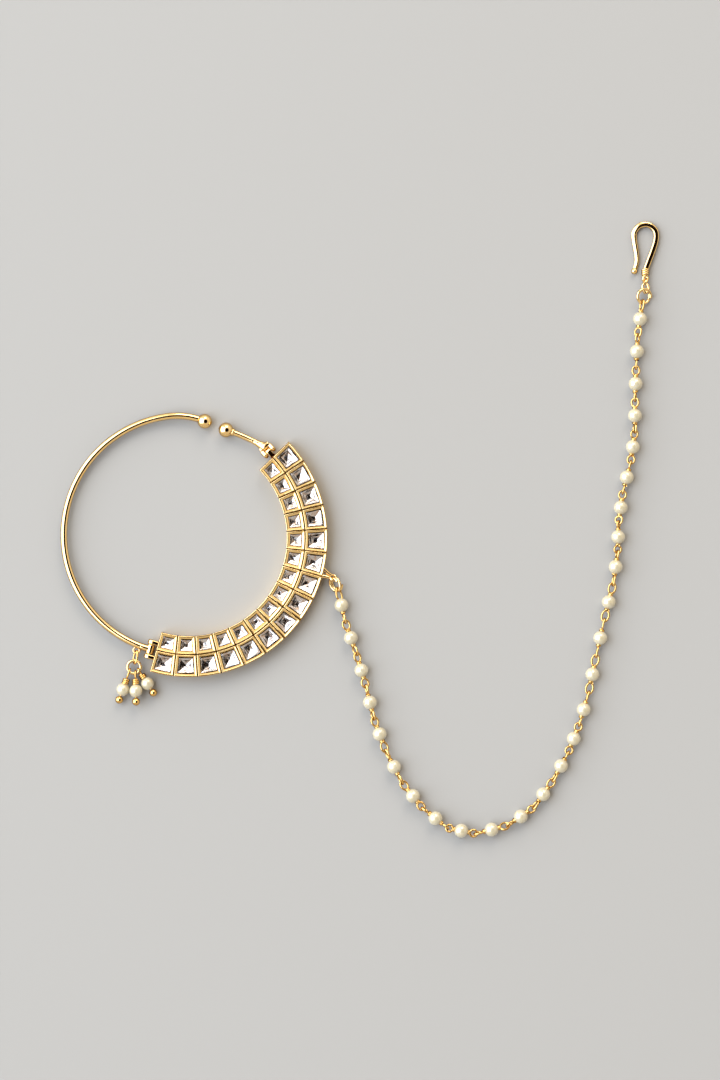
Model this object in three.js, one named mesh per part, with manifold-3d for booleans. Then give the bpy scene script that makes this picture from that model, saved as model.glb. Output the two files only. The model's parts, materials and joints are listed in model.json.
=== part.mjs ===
import * as THREE from 'three';
import { mergeVertices } from 'three/addons/utils/BufferGeometryUtils.js';
import Module from 'manifold-3d';

const wasm = await Module();
wasm.setup();

// Sizes are millimetres. The ring lies face up in the XY plane. A turn is in degrees,
// anticlockwise from +X, about the setting's centre unless its note says otherwise.

// Crescent setting with two rows of cells
const settingInnerRadius = 21.55;
const innerRowWidth = 4.05;
const outerRowWidth = 4.9;
const rowRadius = settingInnerRadius + innerRowWidth;
const settingOuterRadius = rowRadius + outerRowWidth;
const settingHeight = 3.2;
const upperEndTurn = 44;
const lowerEndTurn = -106.3;
const columns = 15;
const grooveWidth = 0.4;
const grooveDepth = 0.45;
const rimWidth = 0.22;
const bevelDepth = 0.6;
const outerBorder = 0.74;
const innerBorder = 0.78;
const pocketFloor = 1.0;

// Cut stones
const stoneClearance = 0.1;
const girdleDrop = 0.15;
const girdleHeight = 0.25;
const tableHeight = 0.5;
const tableShare = 0.62;
const cornerShare = 0.3;

// Wires, balls and their height above the surface
const ballDiameter = 3.2;
const centreHeight = ballDiameter / 2;
const hoopWire = 1.45;
const stubWire = 1.25;

// Hinges: each pin lies along its end face of the setting
const hingeOffset = 0.25;
const hingeRadius = rowRadius + hingeOffset;
const hoopPinToFace = 1.3;
const hoopPin = 0.8;
const pinClearance = 0.1;
const armRadius = 1.0;
const armWidth = 0.95;
const hoopBarrelLength = 2.1;
const hoopBarrelRadius = 0.85;
const hoopNeckWidth = 1.5;
const hoopNeckHeight = 1.2;
const hoopNeckReach = 1.7;
const hoopNeckBite = 0.5;
const stubPinToFace = 1.5;
const stubPin = 0.7;
const stubBarrelLength = 1.1;
const stubBarrelRadius = 0.8;
const stubLugHeight = 1.0;
const lobeRadius = 0.85;
const lobeWidth = 0.9;
const bridgeStart = 1.0;
const bridgeWidth = 0.75;
const bridgeHeight = 1.3;
const lobeHalf = 0.5;
const barrelClearance = 0.1;
const wallBite = 0.3;

// Hoop: its arc starts at the hinge neck and ends in a ball
const hoopOffset = 0.65;
const hoopRadius = rowRadius + hoopOffset;
const hoopLead = -3.4;
const hoopBallTurn = 79.3;
const hoopDipDepth = 0.85;
const hoopDipTurn = 18;
const hoopEyeTurn = -112.0;
const hoopStep = 8;

// Stub: straight-line length from its bridge to the ball
const stubLength = 9.3;
const stubLean = 22;
const stubBow = 0.5;
const flareRadius = 1.1;
const flareLength = 3.0;
const neckRadius = 0.85;
const neckWidth = 0.7;

// Eye, link and jump ring that carry the drops
const eyeWire = 0.45;
const eyeRadius = 0.675;
const dropTurn = -98.3;
const linkSpan = 1.63;
const linkWire = 0.45;
const linkHalfWidth = 0.72;
const dangleRingRadius = 1.43;
const dangleRingWire = 0.65;
const linkClearance = 0.1;

// Drops: where each hangs on the ring, which way it points, the reach from the ring's wire to
// the pearl's centre and the height of the pearl above the surface
const dangleRows = [
  { hangTurn: -137, pearlTurn: -109.6, reach: 4.22, rise: 0 },
  { hangTurn: -76, pearlTurn: -88.6, reach: 3.82, rise: 0.65 },
  { hangTurn: -35, pearlTurn: -57.9, reach: 3.32, rise: 0 },
];
const danglePearl = 2.9;
const dangleBore = 0.7;
const pinWire = 0.45;
const pinEyeHalfWidth = 0.72;
const pinNeck = 0.4;
const wrapRadius = 0.48;
const endBead = 1.75;
const endBeadGap = 0.08;

// Chain lug on the setting's outer wall and the ring between it and the chain
const lugTurn = -14.6;
const lugLean = -10.5;
const lugReach = 2.4;
const lugRootWidth = 2.4;
const lugTipWidth = 0.9;
const lugRootHeight = 1.5;
const lugTipHeight = 0.6;
const lugEyeRadius = 0.75;
const lugEyeWire = 0.5;
const lugEyeRoll = -45;
const jumpRingRadius = 1.53;
const jumpRingWire = 0.55;
const chainRingTurn = -68.9;
const chainRingRoll = 45;

// Pearl chain: every second pearl of the route, from the jump ring to the hook
const pearlDiameter = 3.1;
const pearlCount = 27;
const chainRoute = [
  [0.3, -3.3], [5.2, -17.5], [9.0, -31.6], [16.3, -45.3], [27.0, -53.3],
  [40.4, -50.0], [49.1, -38.6], [54.1, -26.2], [57.6, -10.4], [61.2, 5.2],
  [62.0, 18.3], [65.0, 31.6], [65.4, 45.5], [66.1, 59.8],
];
const pearlCap = 0.62;
const pearlWaistTurn = 27;
const chainWire = 0.5;
const chainEyeHalfWidth = 0.75;
const chainEyeTouch = 0.36;
const chainEyeSeat = 0.1;

// Hook and the ring that joins it to the chain
const hookRingTurn = 76.6;
const hookRingReach = 3.59;
const hookRingRoll = 25;
const hookEyeRoll = -65;
const hookWire = 1.1;
const hookEyeLength = 3.3;
const hookEyeHalfWidth = 0.72;
const hookBaseRise = 4.1;
const hookBaseHeight = 0.9;
const hookCollarRadius = 0.8;
const hookCollarLength = 1.3;
const hookCollarPlace = -0.35;
const hookBendHeight = 7.8;
const hookBendRadius = 2.5;
const hookBendTurns = [-15, 30, 75, 120, 165, 195];
const hookWaistHeight = 2.4;
const hookWaist = 1.8;
const hookTip = 2.4;
const hookTipBall = 1.35;

// Facets: sides of wires and round pieces, and steps along bent ones
const fineSides = 5;
const hookSides = 6;
const wireSides = 8;
const roundSides = 10;
const ballBands = 5;
const eyeSteps = 10;
const jumpRingSteps = 10;
const stubSteps = 6;
const hookSteps = 20;

// Corners closer than this are one, and cutters pass the faces they cut by this much
const mergeDistance = 1e-4;
const cutOver = 0.2;

// Rolls of a loop about its own axis
const level = 0;
const upright = 90;

const up = new THREE.Vector3(0, 0, 1);

function radians(degrees) {
  return (degrees * Math.PI) / 180;
}

function degrees(angle) {
  return (angle * 180) / Math.PI;
}

function polar(radius, turn, height = 0) {
  return new THREE.Vector3(radius * Math.cos(radians(turn)), radius * Math.sin(radians(turn)), height);
}

function direction(turn) {
  return polar(1, turn);
}

function along(start, way, distance) {
  return start.clone().addScaledVector(way, distance);
}

// Makes a closed solid of a geometry, with its shared corners merged
function solid(geometry) {
  const bare = new THREE.BufferGeometry();
  bare.setAttribute('position', geometry.getAttribute('position'));
  bare.setIndex(geometry.getIndex());
  const merged = mergeVertices(bare, mergeDistance);
  const index = merged.getIndex().array;
  const triVerts = [];
  for (let i = 0; i < index.length; i += 3) {
    const [a, b, c] = [index[i], index[i + 1], index[i + 2]];
    if (a !== b && b !== c && c !== a) {
      triVerts.push(a, b, c);
    }
  }
  return new wasm.Manifold(new wasm.Mesh({
    numProp: 3,
    vertProperties: new Float32Array(merged.getAttribute('position').array),
    triVerts: new Uint32Array(triVerts),
  }));
}

function geometryOf(shape) {
  const { numProp, vertProperties, triVerts } = shape.getMesh();
  const geometry = new THREE.BufferGeometry();
  geometry.setAttribute('position', new THREE.BufferAttribute(new Float32Array(vertProperties), numProp));
  geometry.setIndex(new THREE.BufferAttribute(new Uint32Array(triVerts), 1));
  return geometry;
}

function joined(solids) {
  return solids.reduce((whole, piece) => whole.add(piece));
}

function cut(whole, cutters) {
  return cutters.reduce((rest, cutter) => rest.subtract(cutter), whole);
}

function surface(corners, triangles) {
  const geometry = new THREE.BufferGeometry();
  const positions = corners.flatMap((corner) => [corner.x, corner.y, corner.z]);
  geometry.setAttribute('position', new THREE.Float32BufferAttribute(positions, 3));
  geometry.setIndex(triangles);
  return geometry;
}

// Skins a row of loops with equal counts of corners, anticlockwise seen against the row's way
function skin(loops, closed = false) {
  const count = loops[0].length;
  const triangles = [];
  const bands = closed ? loops.length : loops.length - 1;
  for (let i = 0; i < bands; i += 1) {
    const next = (i + 1) % loops.length;
    for (let k = 0; k < count; k += 1) {
      const a = i * count + k;
      const b = i * count + ((k + 1) % count);
      const c = next * count + ((k + 1) % count);
      const d = next * count + k;
      triangles.push(a, b, c, a, c, d);
    }
  }
  if (!closed) {
    const last = (loops.length - 1) * count;
    for (let k = 1; k < count - 1; k += 1) {
      triangles.push(0, k + 1, k, last, last + k, last + k + 1);
    }
  }
  return solid(surface(loops.flat(), triangles));
}

// Wire of a radius or a row of radii along a path; facing is a way across the path's plane
function wire(path, radius, sides, facing, closed = false) {
  const loops = path.map((point, i) => {
    const before = path[closed ? (i + path.length - 1) % path.length : Math.max(i - 1, 0)];
    const after = path[closed ? (i + 1) % path.length : Math.min(i + 1, path.length - 1)];
    const way = after.clone().sub(before).normalize();
    const side = facing.clone().cross(way).normalize();
    const rise = way.clone().cross(side);
    const reach = Array.isArray(radius) ? radius[i] : radius;
    return Array.from({ length: sides }, (_, k) => {
      const turn = radians((360 * k) / sides);
      return along(along(point, side, reach * Math.cos(turn)), rise, reach * Math.sin(turn));
    });
  });
  return skin(loops, closed);
}

// The two ways across an axis, the first one level, both rolled about the axis
function rolled(axis, roll) {
  const across = up.clone().cross(axis).normalize();
  const raised = axis.clone().cross(across);
  const turn = radians(roll);
  const side = across.clone().multiplyScalar(Math.cos(turn)).addScaledVector(raised, Math.sin(turn));
  return { side, facing: axis.clone().cross(side) };
}

// Oval wire loop round a centre, its long way along the axis, with a straight side at each end
function loop(centre, axis, roll, halfLength, halfWidth, thickness, sides = fineSides, steps = eyeSteps) {
  const { side, facing } = rolled(axis, roll);
  const halfStep = radians(180 / steps);
  const reach = halfLength / Math.cos(halfStep);
  const path = Array.from({ length: steps }, (_, i) => {
    const turn = halfStep * (2 * i + 1);
    return along(along(centre, axis, reach * Math.cos(turn)), side, halfWidth * Math.sin(turn));
  });
  return wire(path, thickness / 2, sides, facing, true);
}

// Round piece turned about an axis; each row is a radius and a place along the axis
function turned(rows, centre, axis, closed = false) {
  const points = rows.map(([radius, place]) => new THREE.Vector2(radius, place));
  if (closed) {
    points.push(points[0].clone());
  }
  const geometry = new THREE.LatheGeometry(points, roundSides);
  const side = up.clone().cross(axis).normalize().negate();
  const raised = side.clone().cross(axis);
  const frame = new THREE.Matrix4().makeBasis(side, axis, raised).setPosition(centre);
  return solid(geometry.applyMatrix4(frame));
}

function ballRows(radius) {
  return Array.from({ length: ballBands + 1 }, (_, i) => {
    const turn = radians(-90 + (180 * i) / ballBands);
    const edge = i === 0 || i === ballBands;
    return [edge ? 0 : radius * Math.cos(turn), radius * Math.sin(turn)];
  });
}

function ball(radius, centre, axis) {
  return turned(ballRows(radius), centre, axis);
}

function rod(radius, length, centre, axis) {
  const half = length / 2;
  return turned([[0, -half], [radius, -half], [radius, half], [0, half]], centre, axis);
}

// Block from a box in a frame of three ways: [least, most] along each
function block(frame, [u0, u1], [v0, v1], [w0, w1]) {
  const at = (u, v, w) => along(along(along(frame.centre, frame.u, u), frame.v, v), frame.w, w);
  const loops = [w0, w1].map((w) => [at(u0, v0, w), at(u1, v0, w), at(u1, v1, w), at(u0, v1, w)]);
  return skin(frame.hand < 0 ? loops.reverse() : loops);
}

// Setting

const columnTurn = (upperEndTurn - lowerEndTurn) / columns;
const rows = {
  inner: { from: settingInnerRadius, to: rowRadius, border: innerBorder },
  outer: { from: rowRadius, to: settingOuterRadius, border: outerBorder },
};

// The four corners of a cell, drawn in from its bounds, anticlockwise from above
function cellCorners(row, column, inset, height) {
  const start = lowerEndTurn + column * columnTurn;
  const corner = (radius, turn, way) => (
    polar(radius, turn + way * degrees(Math.asin(inset / radius)), height)
  );
  const near = row.from + inset;
  const far = row.to - inset;
  return [
    corner(near, start, 1),
    corner(far, start, 1),
    corner(far, start + columnTurn, -1),
    corner(near, start + columnTurn, -1),
  ];
}

// Arc along the crescent in one step a column, with some more steps past each end
function settingArc(radius, stepsOver = 0) {
  return Array.from({ length: columns + 1 + 2 * stepsOver }, (_, i) => (
    polar(radius, lowerEndTurn + columnTurn * (i - stepsOver))
  ));
}

function crescent() {
  const shape = new THREE.Shape([
    ...settingArc(settingOuterRadius),
    ...settingArc(settingInnerRadius).reverse(),
  ]);
  return solid(new THREE.ExtrudeGeometry(shape, { depth: settingHeight, bevelEnabled: false }));
}

function pocket(row, column) {
  const rimInset = grooveWidth / 2 + rimWidth;
  const slope = (row.border - rimInset) / bevelDepth;
  const bevelFoot = settingHeight - bevelDepth;
  return skin([
    cellCorners(row, column, row.border, pocketFloor),
    cellCorners(row, column, row.border, bevelFoot),
    cellCorners(row, column, rimInset - slope * cutOver, settingHeight + cutOver),
  ]);
}

// Corners of a V-groove's section, anticlockwise seen against the way that the groove runs
function grooveSection(centre, side) {
  const halfWidth = ((grooveWidth / 2) * (grooveDepth + cutOver)) / grooveDepth;
  const foot = along(centre, up, settingHeight - grooveDepth);
  const top = along(centre, up, settingHeight + cutOver);
  return [foot, along(top, side, -halfWidth), along(top, side, halfWidth)];
}

function columnGroove(column) {
  const turn = lowerEndTurn + column * columnTurn;
  const side = direction(turn - 90);
  const ends = [settingInnerRadius - cutOver, settingOuterRadius + cutOver];
  return skin(ends.map((radius) => grooveSection(polar(radius, turn), side)));
}

function rowGroove() {
  return skin(settingArc(rowRadius, 1).map((centre) => grooveSection(centre, centre.clone().normalize())));
}

// Frame of a hinge: u along the pin, v away from the setting, w up; its hand is 1 or -1
function hingeFrame(endTurn, pinToFace, away) {
  const u = direction(endTurn);
  const v = direction(endTurn + 90 * away);
  const centre = along(polar(hingeRadius, endTurn, centreHeight), v, pinToFace);
  return { u, v, w: up, centre, hand: away };
}

// Hinge plate from a root to a round end about the pin
function hingePlate(frame, middle, width, root, rootHalf, radius) {
  const away = -Math.sign(root);
  const steps = roundSides / 2;
  const round = Array.from({ length: steps + 1 }, (_, i) => {
    const turn = radians(-90 + (180 * i) / steps);
    return [away * radius * Math.cos(turn), radius * Math.sin(turn)];
  });
  const outline = [[root, -rootHalf], ...round, [root, rootHalf]];
  if (away < 0) {
    outline.reverse();
  }
  const loops = [-1, 1].map((sign) => outline.map(([v, w]) => (
    along(along(along(frame.centre, frame.u, middle + (sign * frame.hand * width) / 2), frame.v, v), up, w)
  )));
  return skin(loops);
}

const hoopHinge = hingeFrame(lowerEndTurn, hoopPinToFace, -1);
const stubHinge = hingeFrame(upperEndTurn, stubPinToFace, 1);
const armStart = hoopBarrelLength / 2 + barrelClearance;
const armEnd = armStart + armWidth;

function forkArm(sign) {
  const middle = (sign * (armStart + armEnd)) / 2;
  return hingePlate(hoopHinge, middle, armWidth, -hoopPinToFace - wallBite, armRadius, armRadius);
}

function stubLug() {
  const root = -stubPinToFace - wallBite;
  return hingePlate(stubHinge, 0, stubBarrelLength, root, stubLugHeight / 2, stubBarrelRadius);
}

const lugWay = direction(lugTurn + lugLean);
const lugRoot = polar(settingOuterRadius, lugTurn, centreHeight);
const lugEye = along(lugRoot, lugWay, lugReach);

function chainLug() {
  const side = up.clone().cross(lugWay);
  const section = (place, width, height) => [[-1, -1], [1, -1], [1, 1], [-1, 1]].map(([s, t]) => (
    along(along(along(lugRoot, lugWay, place), side, (s * width) / 2), up, (t * height) / 2)
  ));
  const plate = skin([
    section(-wallBite, lugRootWidth, lugRootHeight),
    section(lugReach - lugEyeRadius, lugTipWidth, lugTipHeight),
  ]);
  return plate.add(loop(lugEye, lugWay, lugEyeRoll, lugEyeRadius, lugEyeRadius, lugEyeWire));
}

function makeSetting() {
  const cutters = [rowGroove()];
  for (let column = 1; column < columns; column += 1) {
    cutters.push(columnGroove(column));
  }
  for (let column = 0; column < columns; column += 1) {
    cutters.push(pocket(rows.inner, column), pocket(rows.outer, column));
  }
  const cells = cut(crescent(), cutters);
  const body = joined([cells, forkArm(1), forkArm(-1), stubLug(), chainLug()]);
  return cut(body, [
    rod(hoopPin / 2 + pinClearance, 2 * (armEnd + cutOver), hoopHinge.centre, hoopHinge.u),
    rod(stubPin / 2 + pinClearance, stubBarrelLength + 2 * cutOver, stubHinge.centre, stubHinge.u),
  ]);
}

// Cut stone: eight crown facets and a table above the girdle, four pavilion facets below
function makeStone(row, column) {
  const inset = row.border + stoneClearance;
  const girdleTop = settingHeight - bevelDepth - girdleDrop;
  const girdleFoot = girdleTop - girdleHeight;
  const culet = pocketFloor + stoneClearance;
  const girdle = cellCorners(row, column, inset, girdleTop);
  const foot = cellCorners(row, column, inset, girdleFoot);
  const middle = girdle.reduce((sum, corner) => sum.add(corner), new THREE.Vector3());
  middle.divideScalar(girdle.length);
  const tip = new THREE.Vector3(middle.x, middle.y, culet);
  const table = [];
  girdle.forEach((corner, i) => {
    const before = girdle[(i + 3) % 4];
    const after = girdle[(i + 1) % 4];
    [before, after].forEach((neighbour) => {
      const edge = corner.clone().lerp(neighbour, cornerShare / 2);
      table.push(middle.clone().lerp(edge, tableShare).setZ(girdleTop + tableHeight));
    });
  });
  const corners = [...girdle, ...foot, ...table, tip];
  const triangles = [];
  for (let i = 0; i < 4; i += 1) {
    const next = (i + 1) % 4;
    const [tableIn, tableOut, tableNext] = [8 + 2 * i, 9 + 2 * i, 8 + 2 * next];
    triangles.push(i, tableOut, tableIn);
    triangles.push(i, next, tableNext, i, tableNext, tableOut);
    triangles.push(4 + i, 4 + next, next, 4 + i, next, i);
    triangles.push(16, 4 + next, 4 + i);
  }
  for (let k = 1; k < 7; k += 1) {
    triangles.push(8, 8 + k, 9 + k);
  }
  return solid(surface(corners, triangles));
}

// Hoop

const hoopStart = along(hoopHinge.centre, hoopHinge.v, hoopNeckReach);
const hoopStartTurn = lowerEndTurn + hoopLead;
const hoopCentre = along(hoopStart, direction(hoopStartTurn), -hoopRadius);

// Place on the hoop's midline at a turn about the hoop's own centre
function hoopPoint(turn) {
  const share = Math.max(0, (hoopBallTurn - 360 + hoopDipTurn - turn) / hoopDipTurn);
  return hoopCentre.clone().add(polar(hoopRadius - hoopDipDepth * share * share, turn));
}

const hoopEyeReach = hoopRadius + hoopWire / 2 + eyeRadius - eyeWire / 2;
const hoopEye = hoopCentre.clone().add(polar(hoopEyeReach, hoopEyeTurn));
const hoopSweep = hoopStartTurn - (hoopBallTurn - 360);

function makeHoop() {
  const steps = Math.ceil(hoopSweep / hoopStep);
  const turns = Array.from({ length: steps + 1 }, (_, i) => hoopStartTurn - (hoopSweep * i) / steps);
  const path = turns.map(hoopPoint);
  const end = path[steps];
  const endWay = end.clone().sub(path[steps - 1]).normalize();
  const neck = block(
    hoopHinge,
    [-hoopNeckWidth / 2, hoopNeckWidth / 2],
    [hoopBarrelRadius / 2, hoopNeckReach + hoopNeckBite],
    [-hoopNeckHeight / 2, hoopNeckHeight / 2],
  );
  const body = joined([
    wire(path, hoopWire / 2, wireSides, up),
    ball(ballDiameter / 2, end, endWay),
    neck,
    rod(hoopBarrelRadius, hoopBarrelLength, hoopHinge.centre, hoopHinge.u),
    loop(hoopEye, direction(dropTurn), level, eyeRadius, eyeRadius, eyeWire),
  ]);
  const boreLength = hoopBarrelLength + 2 * cutOver;
  return body.subtract(rod(hoopPin / 2 + pinClearance, boreLength, hoopHinge.centre, hoopHinge.u));
}

// Stub

function makeStub() {
  const lobeStart = stubBarrelLength / 2 + barrelClearance;
  const lobeEnd = lobeStart + lobeWidth;
  const root = bridgeStart + bridgeWidth / 2;
  const pieces = [-1, 1].map((sign) => {
    const middle = (sign * (lobeStart + lobeEnd)) / 2;
    return hingePlate(stubHinge, middle, lobeWidth, root, lobeHalf, lobeRadius);
  });
  const half = bridgeHeight / 2;
  pieces.push(block(stubHinge, [-lobeEnd, lobeEnd], [bridgeStart, bridgeStart + bridgeWidth], [-half, half]));
  const start = along(stubHinge.centre, stubHinge.v, root);
  const lean = direction(upperEndTurn + 90 + stubLean);
  const end = along(start, lean, stubLength);
  const bowWay = direction(upperEndTurn + stubLean);
  const control = along(along(start, lean, stubLength / 2), bowWay, stubBow);
  const curve = new THREE.QuadraticBezierCurve3(start, control, end);
  const path = curve.getPoints(stubSteps);
  const radii = path.map((_, i) => {
    const share = Math.max(0, 1 - (stubLength * i) / (stubSteps * flareLength));
    return stubWire / 2 + (flareRadius - stubWire / 2) * share * share;
  });
  const endWay = path[stubSteps].clone().sub(path[stubSteps - 1]).normalize();
  const neckCentre = along(end, endWay, -ballDiameter / 2);
  pieces.push(wire(path, radii, wireSides, up));
  pieces.push(rod(neckRadius, neckWidth, neckCentre, endWay));
  pieces.push(ball(ballDiameter / 2, end, endWay));
  const bore = rod(stubPin / 2 + pinClearance, 2 * (lobeEnd + cutOver), stubHinge.centre, stubHinge.u);
  return joined(pieces).subtract(bore);
}

function makeHoopPin() {
  return rod(hoopPin / 2, 2 * armEnd, hoopHinge.centre, hoopHinge.u);
}

function makeStubPin() {
  const length = stubBarrelLength + 2 * (barrelClearance + lobeWidth);
  return rod(stubPin / 2, length, stubHinge.centre, stubHinge.u);
}

// Drops

const dropWay = direction(dropTurn);
const eyeWirePlace = along(hoopEye, dropWay, eyeRadius);
const ringTop = along(eyeWirePlace, dropWay, linkSpan);
const dangleRing = along(ringTop, dropWay, dangleRingRadius);

function makeLink() {
  const over = (eyeWire + linkWire) / 2 + linkClearance;
  const under = (dangleRingWire + linkWire) / 2 + linkClearance;
  const half = (over + linkSpan + under) / 2;
  const centre = along(eyeWirePlace, dropWay, half - over);
  return loop(centre, dropWay, upright, half, linkHalfWidth, linkWire);
}

function jumpRing(centre, way, roll, radius, thickness) {
  return loop(centre, way, roll, radius, radius, thickness, fineSides, jumpRingSteps);
}

function makeDangleRing() {
  return jumpRing(dangleRing, dropWay, level, dangleRingRadius, dangleRingWire);
}

// Where a drop hangs, its way and its pearl's centre
function dangleLine({ hangTurn, pearlTurn, reach, rise }) {
  const hang = dangleRing.clone().add(polar(dangleRingRadius, hangTurn));
  const pearl = hang.clone().add(polar(reach, pearlTurn)).setZ(danglePearl / 2 + rise);
  const way = pearl.clone().sub(hang).normalize();
  return { hang, pearl, way, length: pearl.distanceTo(hang) };
}

function makeDanglePin(row) {
  const { hang, pearl, way, length } = dangleLine(row);
  const inside = (dangleRingWire + pinWire) / 2 + linkClearance;
  const neckStart = length - danglePearl / 2 - pinNeck;
  const half = (inside + neckStart) / 2;
  const beadPlace = danglePearl / 2 + endBeadGap + endBead / 2;
  const bead = ballRows(endBead / 2).slice(1).map(([radius, place]) => [radius, place + beadPlace]);
  const wrapStart = -danglePearl / 2 - pinNeck;
  const wrapEnd = -danglePearl / 2 - endBeadGap;
  const stem = turned([
    [0, wrapStart],
    [wrapRadius, wrapStart],
    [wrapRadius, wrapEnd],
    [pinWire / 2, wrapEnd],
    [pinWire / 2, beadPlace - endBead / 2],
    ...bead,
  ], pearl, way);
  return stem.add(loop(along(hang, way, half - inside), way, upright, half, pinEyeHalfWidth, pinWire));
}

// Pearl with a bore, turned as a closed ring round its axis
function makeDanglePearl(row) {
  const { pearl, way } = dangleLine(row);
  const radius = danglePearl / 2;
  const bore = dangleBore / 2;
  const mouth = Math.sqrt(radius * radius - bore * bore);
  const edge = degrees(Math.atan2(mouth, bore));
  const arc = Array.from({ length: ballBands + 1 }, (_, i) => {
    const turn = radians(-edge + (2 * edge * i) / ballBands);
    return [radius * Math.cos(turn), radius * Math.sin(turn)];
  });
  return turned(arc, pearl, way, true);
}

// Chain

const chainRingWay = direction(chainRingTurn);
const chainRing = along(lugEye, chainRingWay, jumpRingRadius);
const chainStart = along(chainRing, chainRingWay, jumpRingRadius);

function makeChainRing() {
  return jumpRing(chainRing, chainRingWay, chainRingRoll, jumpRingRadius, jumpRingWire);
}

const chainHeight = pearlDiameter / 2;
const chainHead = chainStart.clone().setZ(chainHeight);
const route = new THREE.CatmullRomCurve3(
  chainRoute.map(([x, y]) => chainHead.clone().add(new THREE.Vector3(x, y, 0))),
);
const capPlace = Math.sqrt((pearlDiameter / 2) ** 2 - pearlCap ** 2);
const hookRingWay = direction(hookRingTurn);
const chainEnd = along(route.getPoint(1), hookRingWay, hookRingReach);

// Pearl with a flat round each end of its bore, turned about X
function chainPearl() {
  const radius = pearlDiameter / 2;
  const waist = radians(pearlWaistTurn);
  const half = [
    [radius * Math.cos(waist), radius * Math.sin(waist)],
    [pearlCap, capPlace],
    [0, capPlace],
  ];
  const mirrored = half.map(([reach, place]) => [reach, -place]).reverse();
  return turned([...mirrored, ...half], new THREE.Vector3(), new THREE.Vector3(1, 0, 0));
}

// Eye from a pearl's flat to a place along its axis
function chainEye(sign, end, roll) {
  const start = capPlace + chainEyeSeat;
  const centre = new THREE.Vector3((sign * (start + end)) / 2, 0, 0);
  return loop(centre, new THREE.Vector3(1, 0, 0), roll, (end - start) / 2, chainEyeHalfWidth, chainWire);
}

// Pearl and its two eyes, straight between the places where it meets its neighbours
function chainUnit(place, from, to, eyes) {
  const way = to.clone().sub(from).normalize();
  const before = place.clone().sub(from).dot(way);
  const after = to.distanceTo(from) - before;
  const unit = joined([
    chainPearl(),
    chainEye(-1, before + eyes.from.past, eyes.from.roll),
    chainEye(1, after + eyes.to.past, eyes.to.roll),
  ]);
  const frame = new THREE.Matrix4().makeBasis(way, up.clone().cross(way), up);
  frame.setPosition(along(from, way, before));
  return solid(geometryOf(unit).applyMatrix4(frame));
}

function makeChain() {
  const clear = (jumpRingWire + chainWire) / 2 + linkClearance;
  const touch = chainEyeTouch / 2;
  const last = pearlCount - 1;
  const meeting = (i) => route.getPoint((i + 0.5) / last);
  return joined(Array.from({ length: pearlCount }, (_, i) => chainUnit(
    route.getPoint(i / last),
    i === 0 ? chainHead : meeting(i - 1),
    i === last ? chainEnd : meeting(i),
    {
      from: i === 0 ? { past: clear, roll: lugEyeRoll } : { past: touch, roll: upright },
      to: i === last ? { past: clear, roll: hookEyeRoll } : { past: touch, roll: level },
    },
  )));
}

// Hook

const hookRing = along(chainEnd, hookRingWay, jumpRingRadius);
const hookHang = along(hookRing, hookRingWay, jumpRingRadius);
const hookBase = along(hookHang, direction(90), hookBaseRise).setZ(hookBaseHeight);

function makeHookRing() {
  return jumpRing(hookRing, hookRingWay, hookRingRoll, jumpRingRadius, jumpRingWire);
}

function makeHook() {
  const lying = hookWire / 2;
  const place = (x, y, height = lying) => new THREE.Vector3(hookBase.x + x, hookBase.y + y, height);
  const bend = hookBendTurns.map((turn) => {
    const point = polar(hookBendRadius, turn);
    return place(point.x, hookBendHeight + point.y);
  });
  const outline = new THREE.CatmullRomCurve3([
    place(0, 0, hookBaseHeight),
    ...bend,
    place(-hookWaist, hookWaistHeight),
    place(-hookTip, 0),
  ]);
  const path = outline.getPoints(hookSteps);
  const eyeWay = hookBase.clone().sub(hookHang).normalize();
  const inside = (jumpRingWire + chainWire) / 2 + linkClearance;
  const half = (hookEyeLength + inside) / 2;
  return joined([
    wire(path, hookWire / 2, hookSides, up),
    ball(hookTipBall / 2, path[hookSteps].clone().setZ(hookTipBall / 2), direction(90)),
    rod(hookCollarRadius, hookCollarLength, along(hookBase, eyeWay, hookCollarPlace), eyeWay),
    loop(along(hookHang, eyeWay, half - inside), eyeWay, hookEyeRoll, half, hookEyeHalfWidth, chainWire),
  ]);
}

// Scene graph

const gold = new THREE.MeshStandardMaterial({ color: 0xe2b75c, roughness: 0.22, metalness: 1 });
const crystal = new THREE.MeshStandardMaterial({ color: 0xf3f0ee, roughness: 0.05, metalness: 0 });
const pearl = new THREE.MeshStandardMaterial({ color: 0xf3ead0, roughness: 0.3, metalness: 0 });

const group = new THREE.Group();

function addPiece(name, shape, material) {
  const geometry = geometryOf(shape);
  geometry.computeVertexNormals();
  const mesh = new THREE.Mesh(geometry, material.clone());
  mesh.name = name;
  group.add(mesh);
}

function numbered(name, i) {
  return `${name}_${String(i + 1).padStart(2, '0')}`;
}

addPiece('setting', makeSetting(), gold);
for (let column = 0; column < columns; column += 1) {
  addPiece(numbered('outer_stone', column), makeStone(rows.outer, column), crystal);
  addPiece(numbered('inner_stone', column), makeStone(rows.inner, column), crystal);
}
addPiece('hoop_wire', makeHoop(), gold);
addPiece('nose_stub', makeStub(), gold);
addPiece('hoop_hinge_pin', makeHoopPin(), gold);
addPiece('stub_hinge_pin', makeStubPin(), gold);
addPiece('dangle_link', makeLink(), gold);
addPiece('dangle_jump_ring', makeDangleRing(), gold);
dangleRows.forEach((row, i) => {
  addPiece(`dangle_pin_${i + 1}`, makeDanglePin(row), gold);
  addPiece(`dangle_pearl_${i + 1}`, makeDanglePearl(row), pearl);
});
addPiece('chain_jump_ring', makeChainRing(), gold);
addPiece('pearl_chain', makeChain(), pearl);
addPiece('hook_jump_ring', makeHookRing(), gold);
addPiece('hair_hook', makeHook(), gold);

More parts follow.
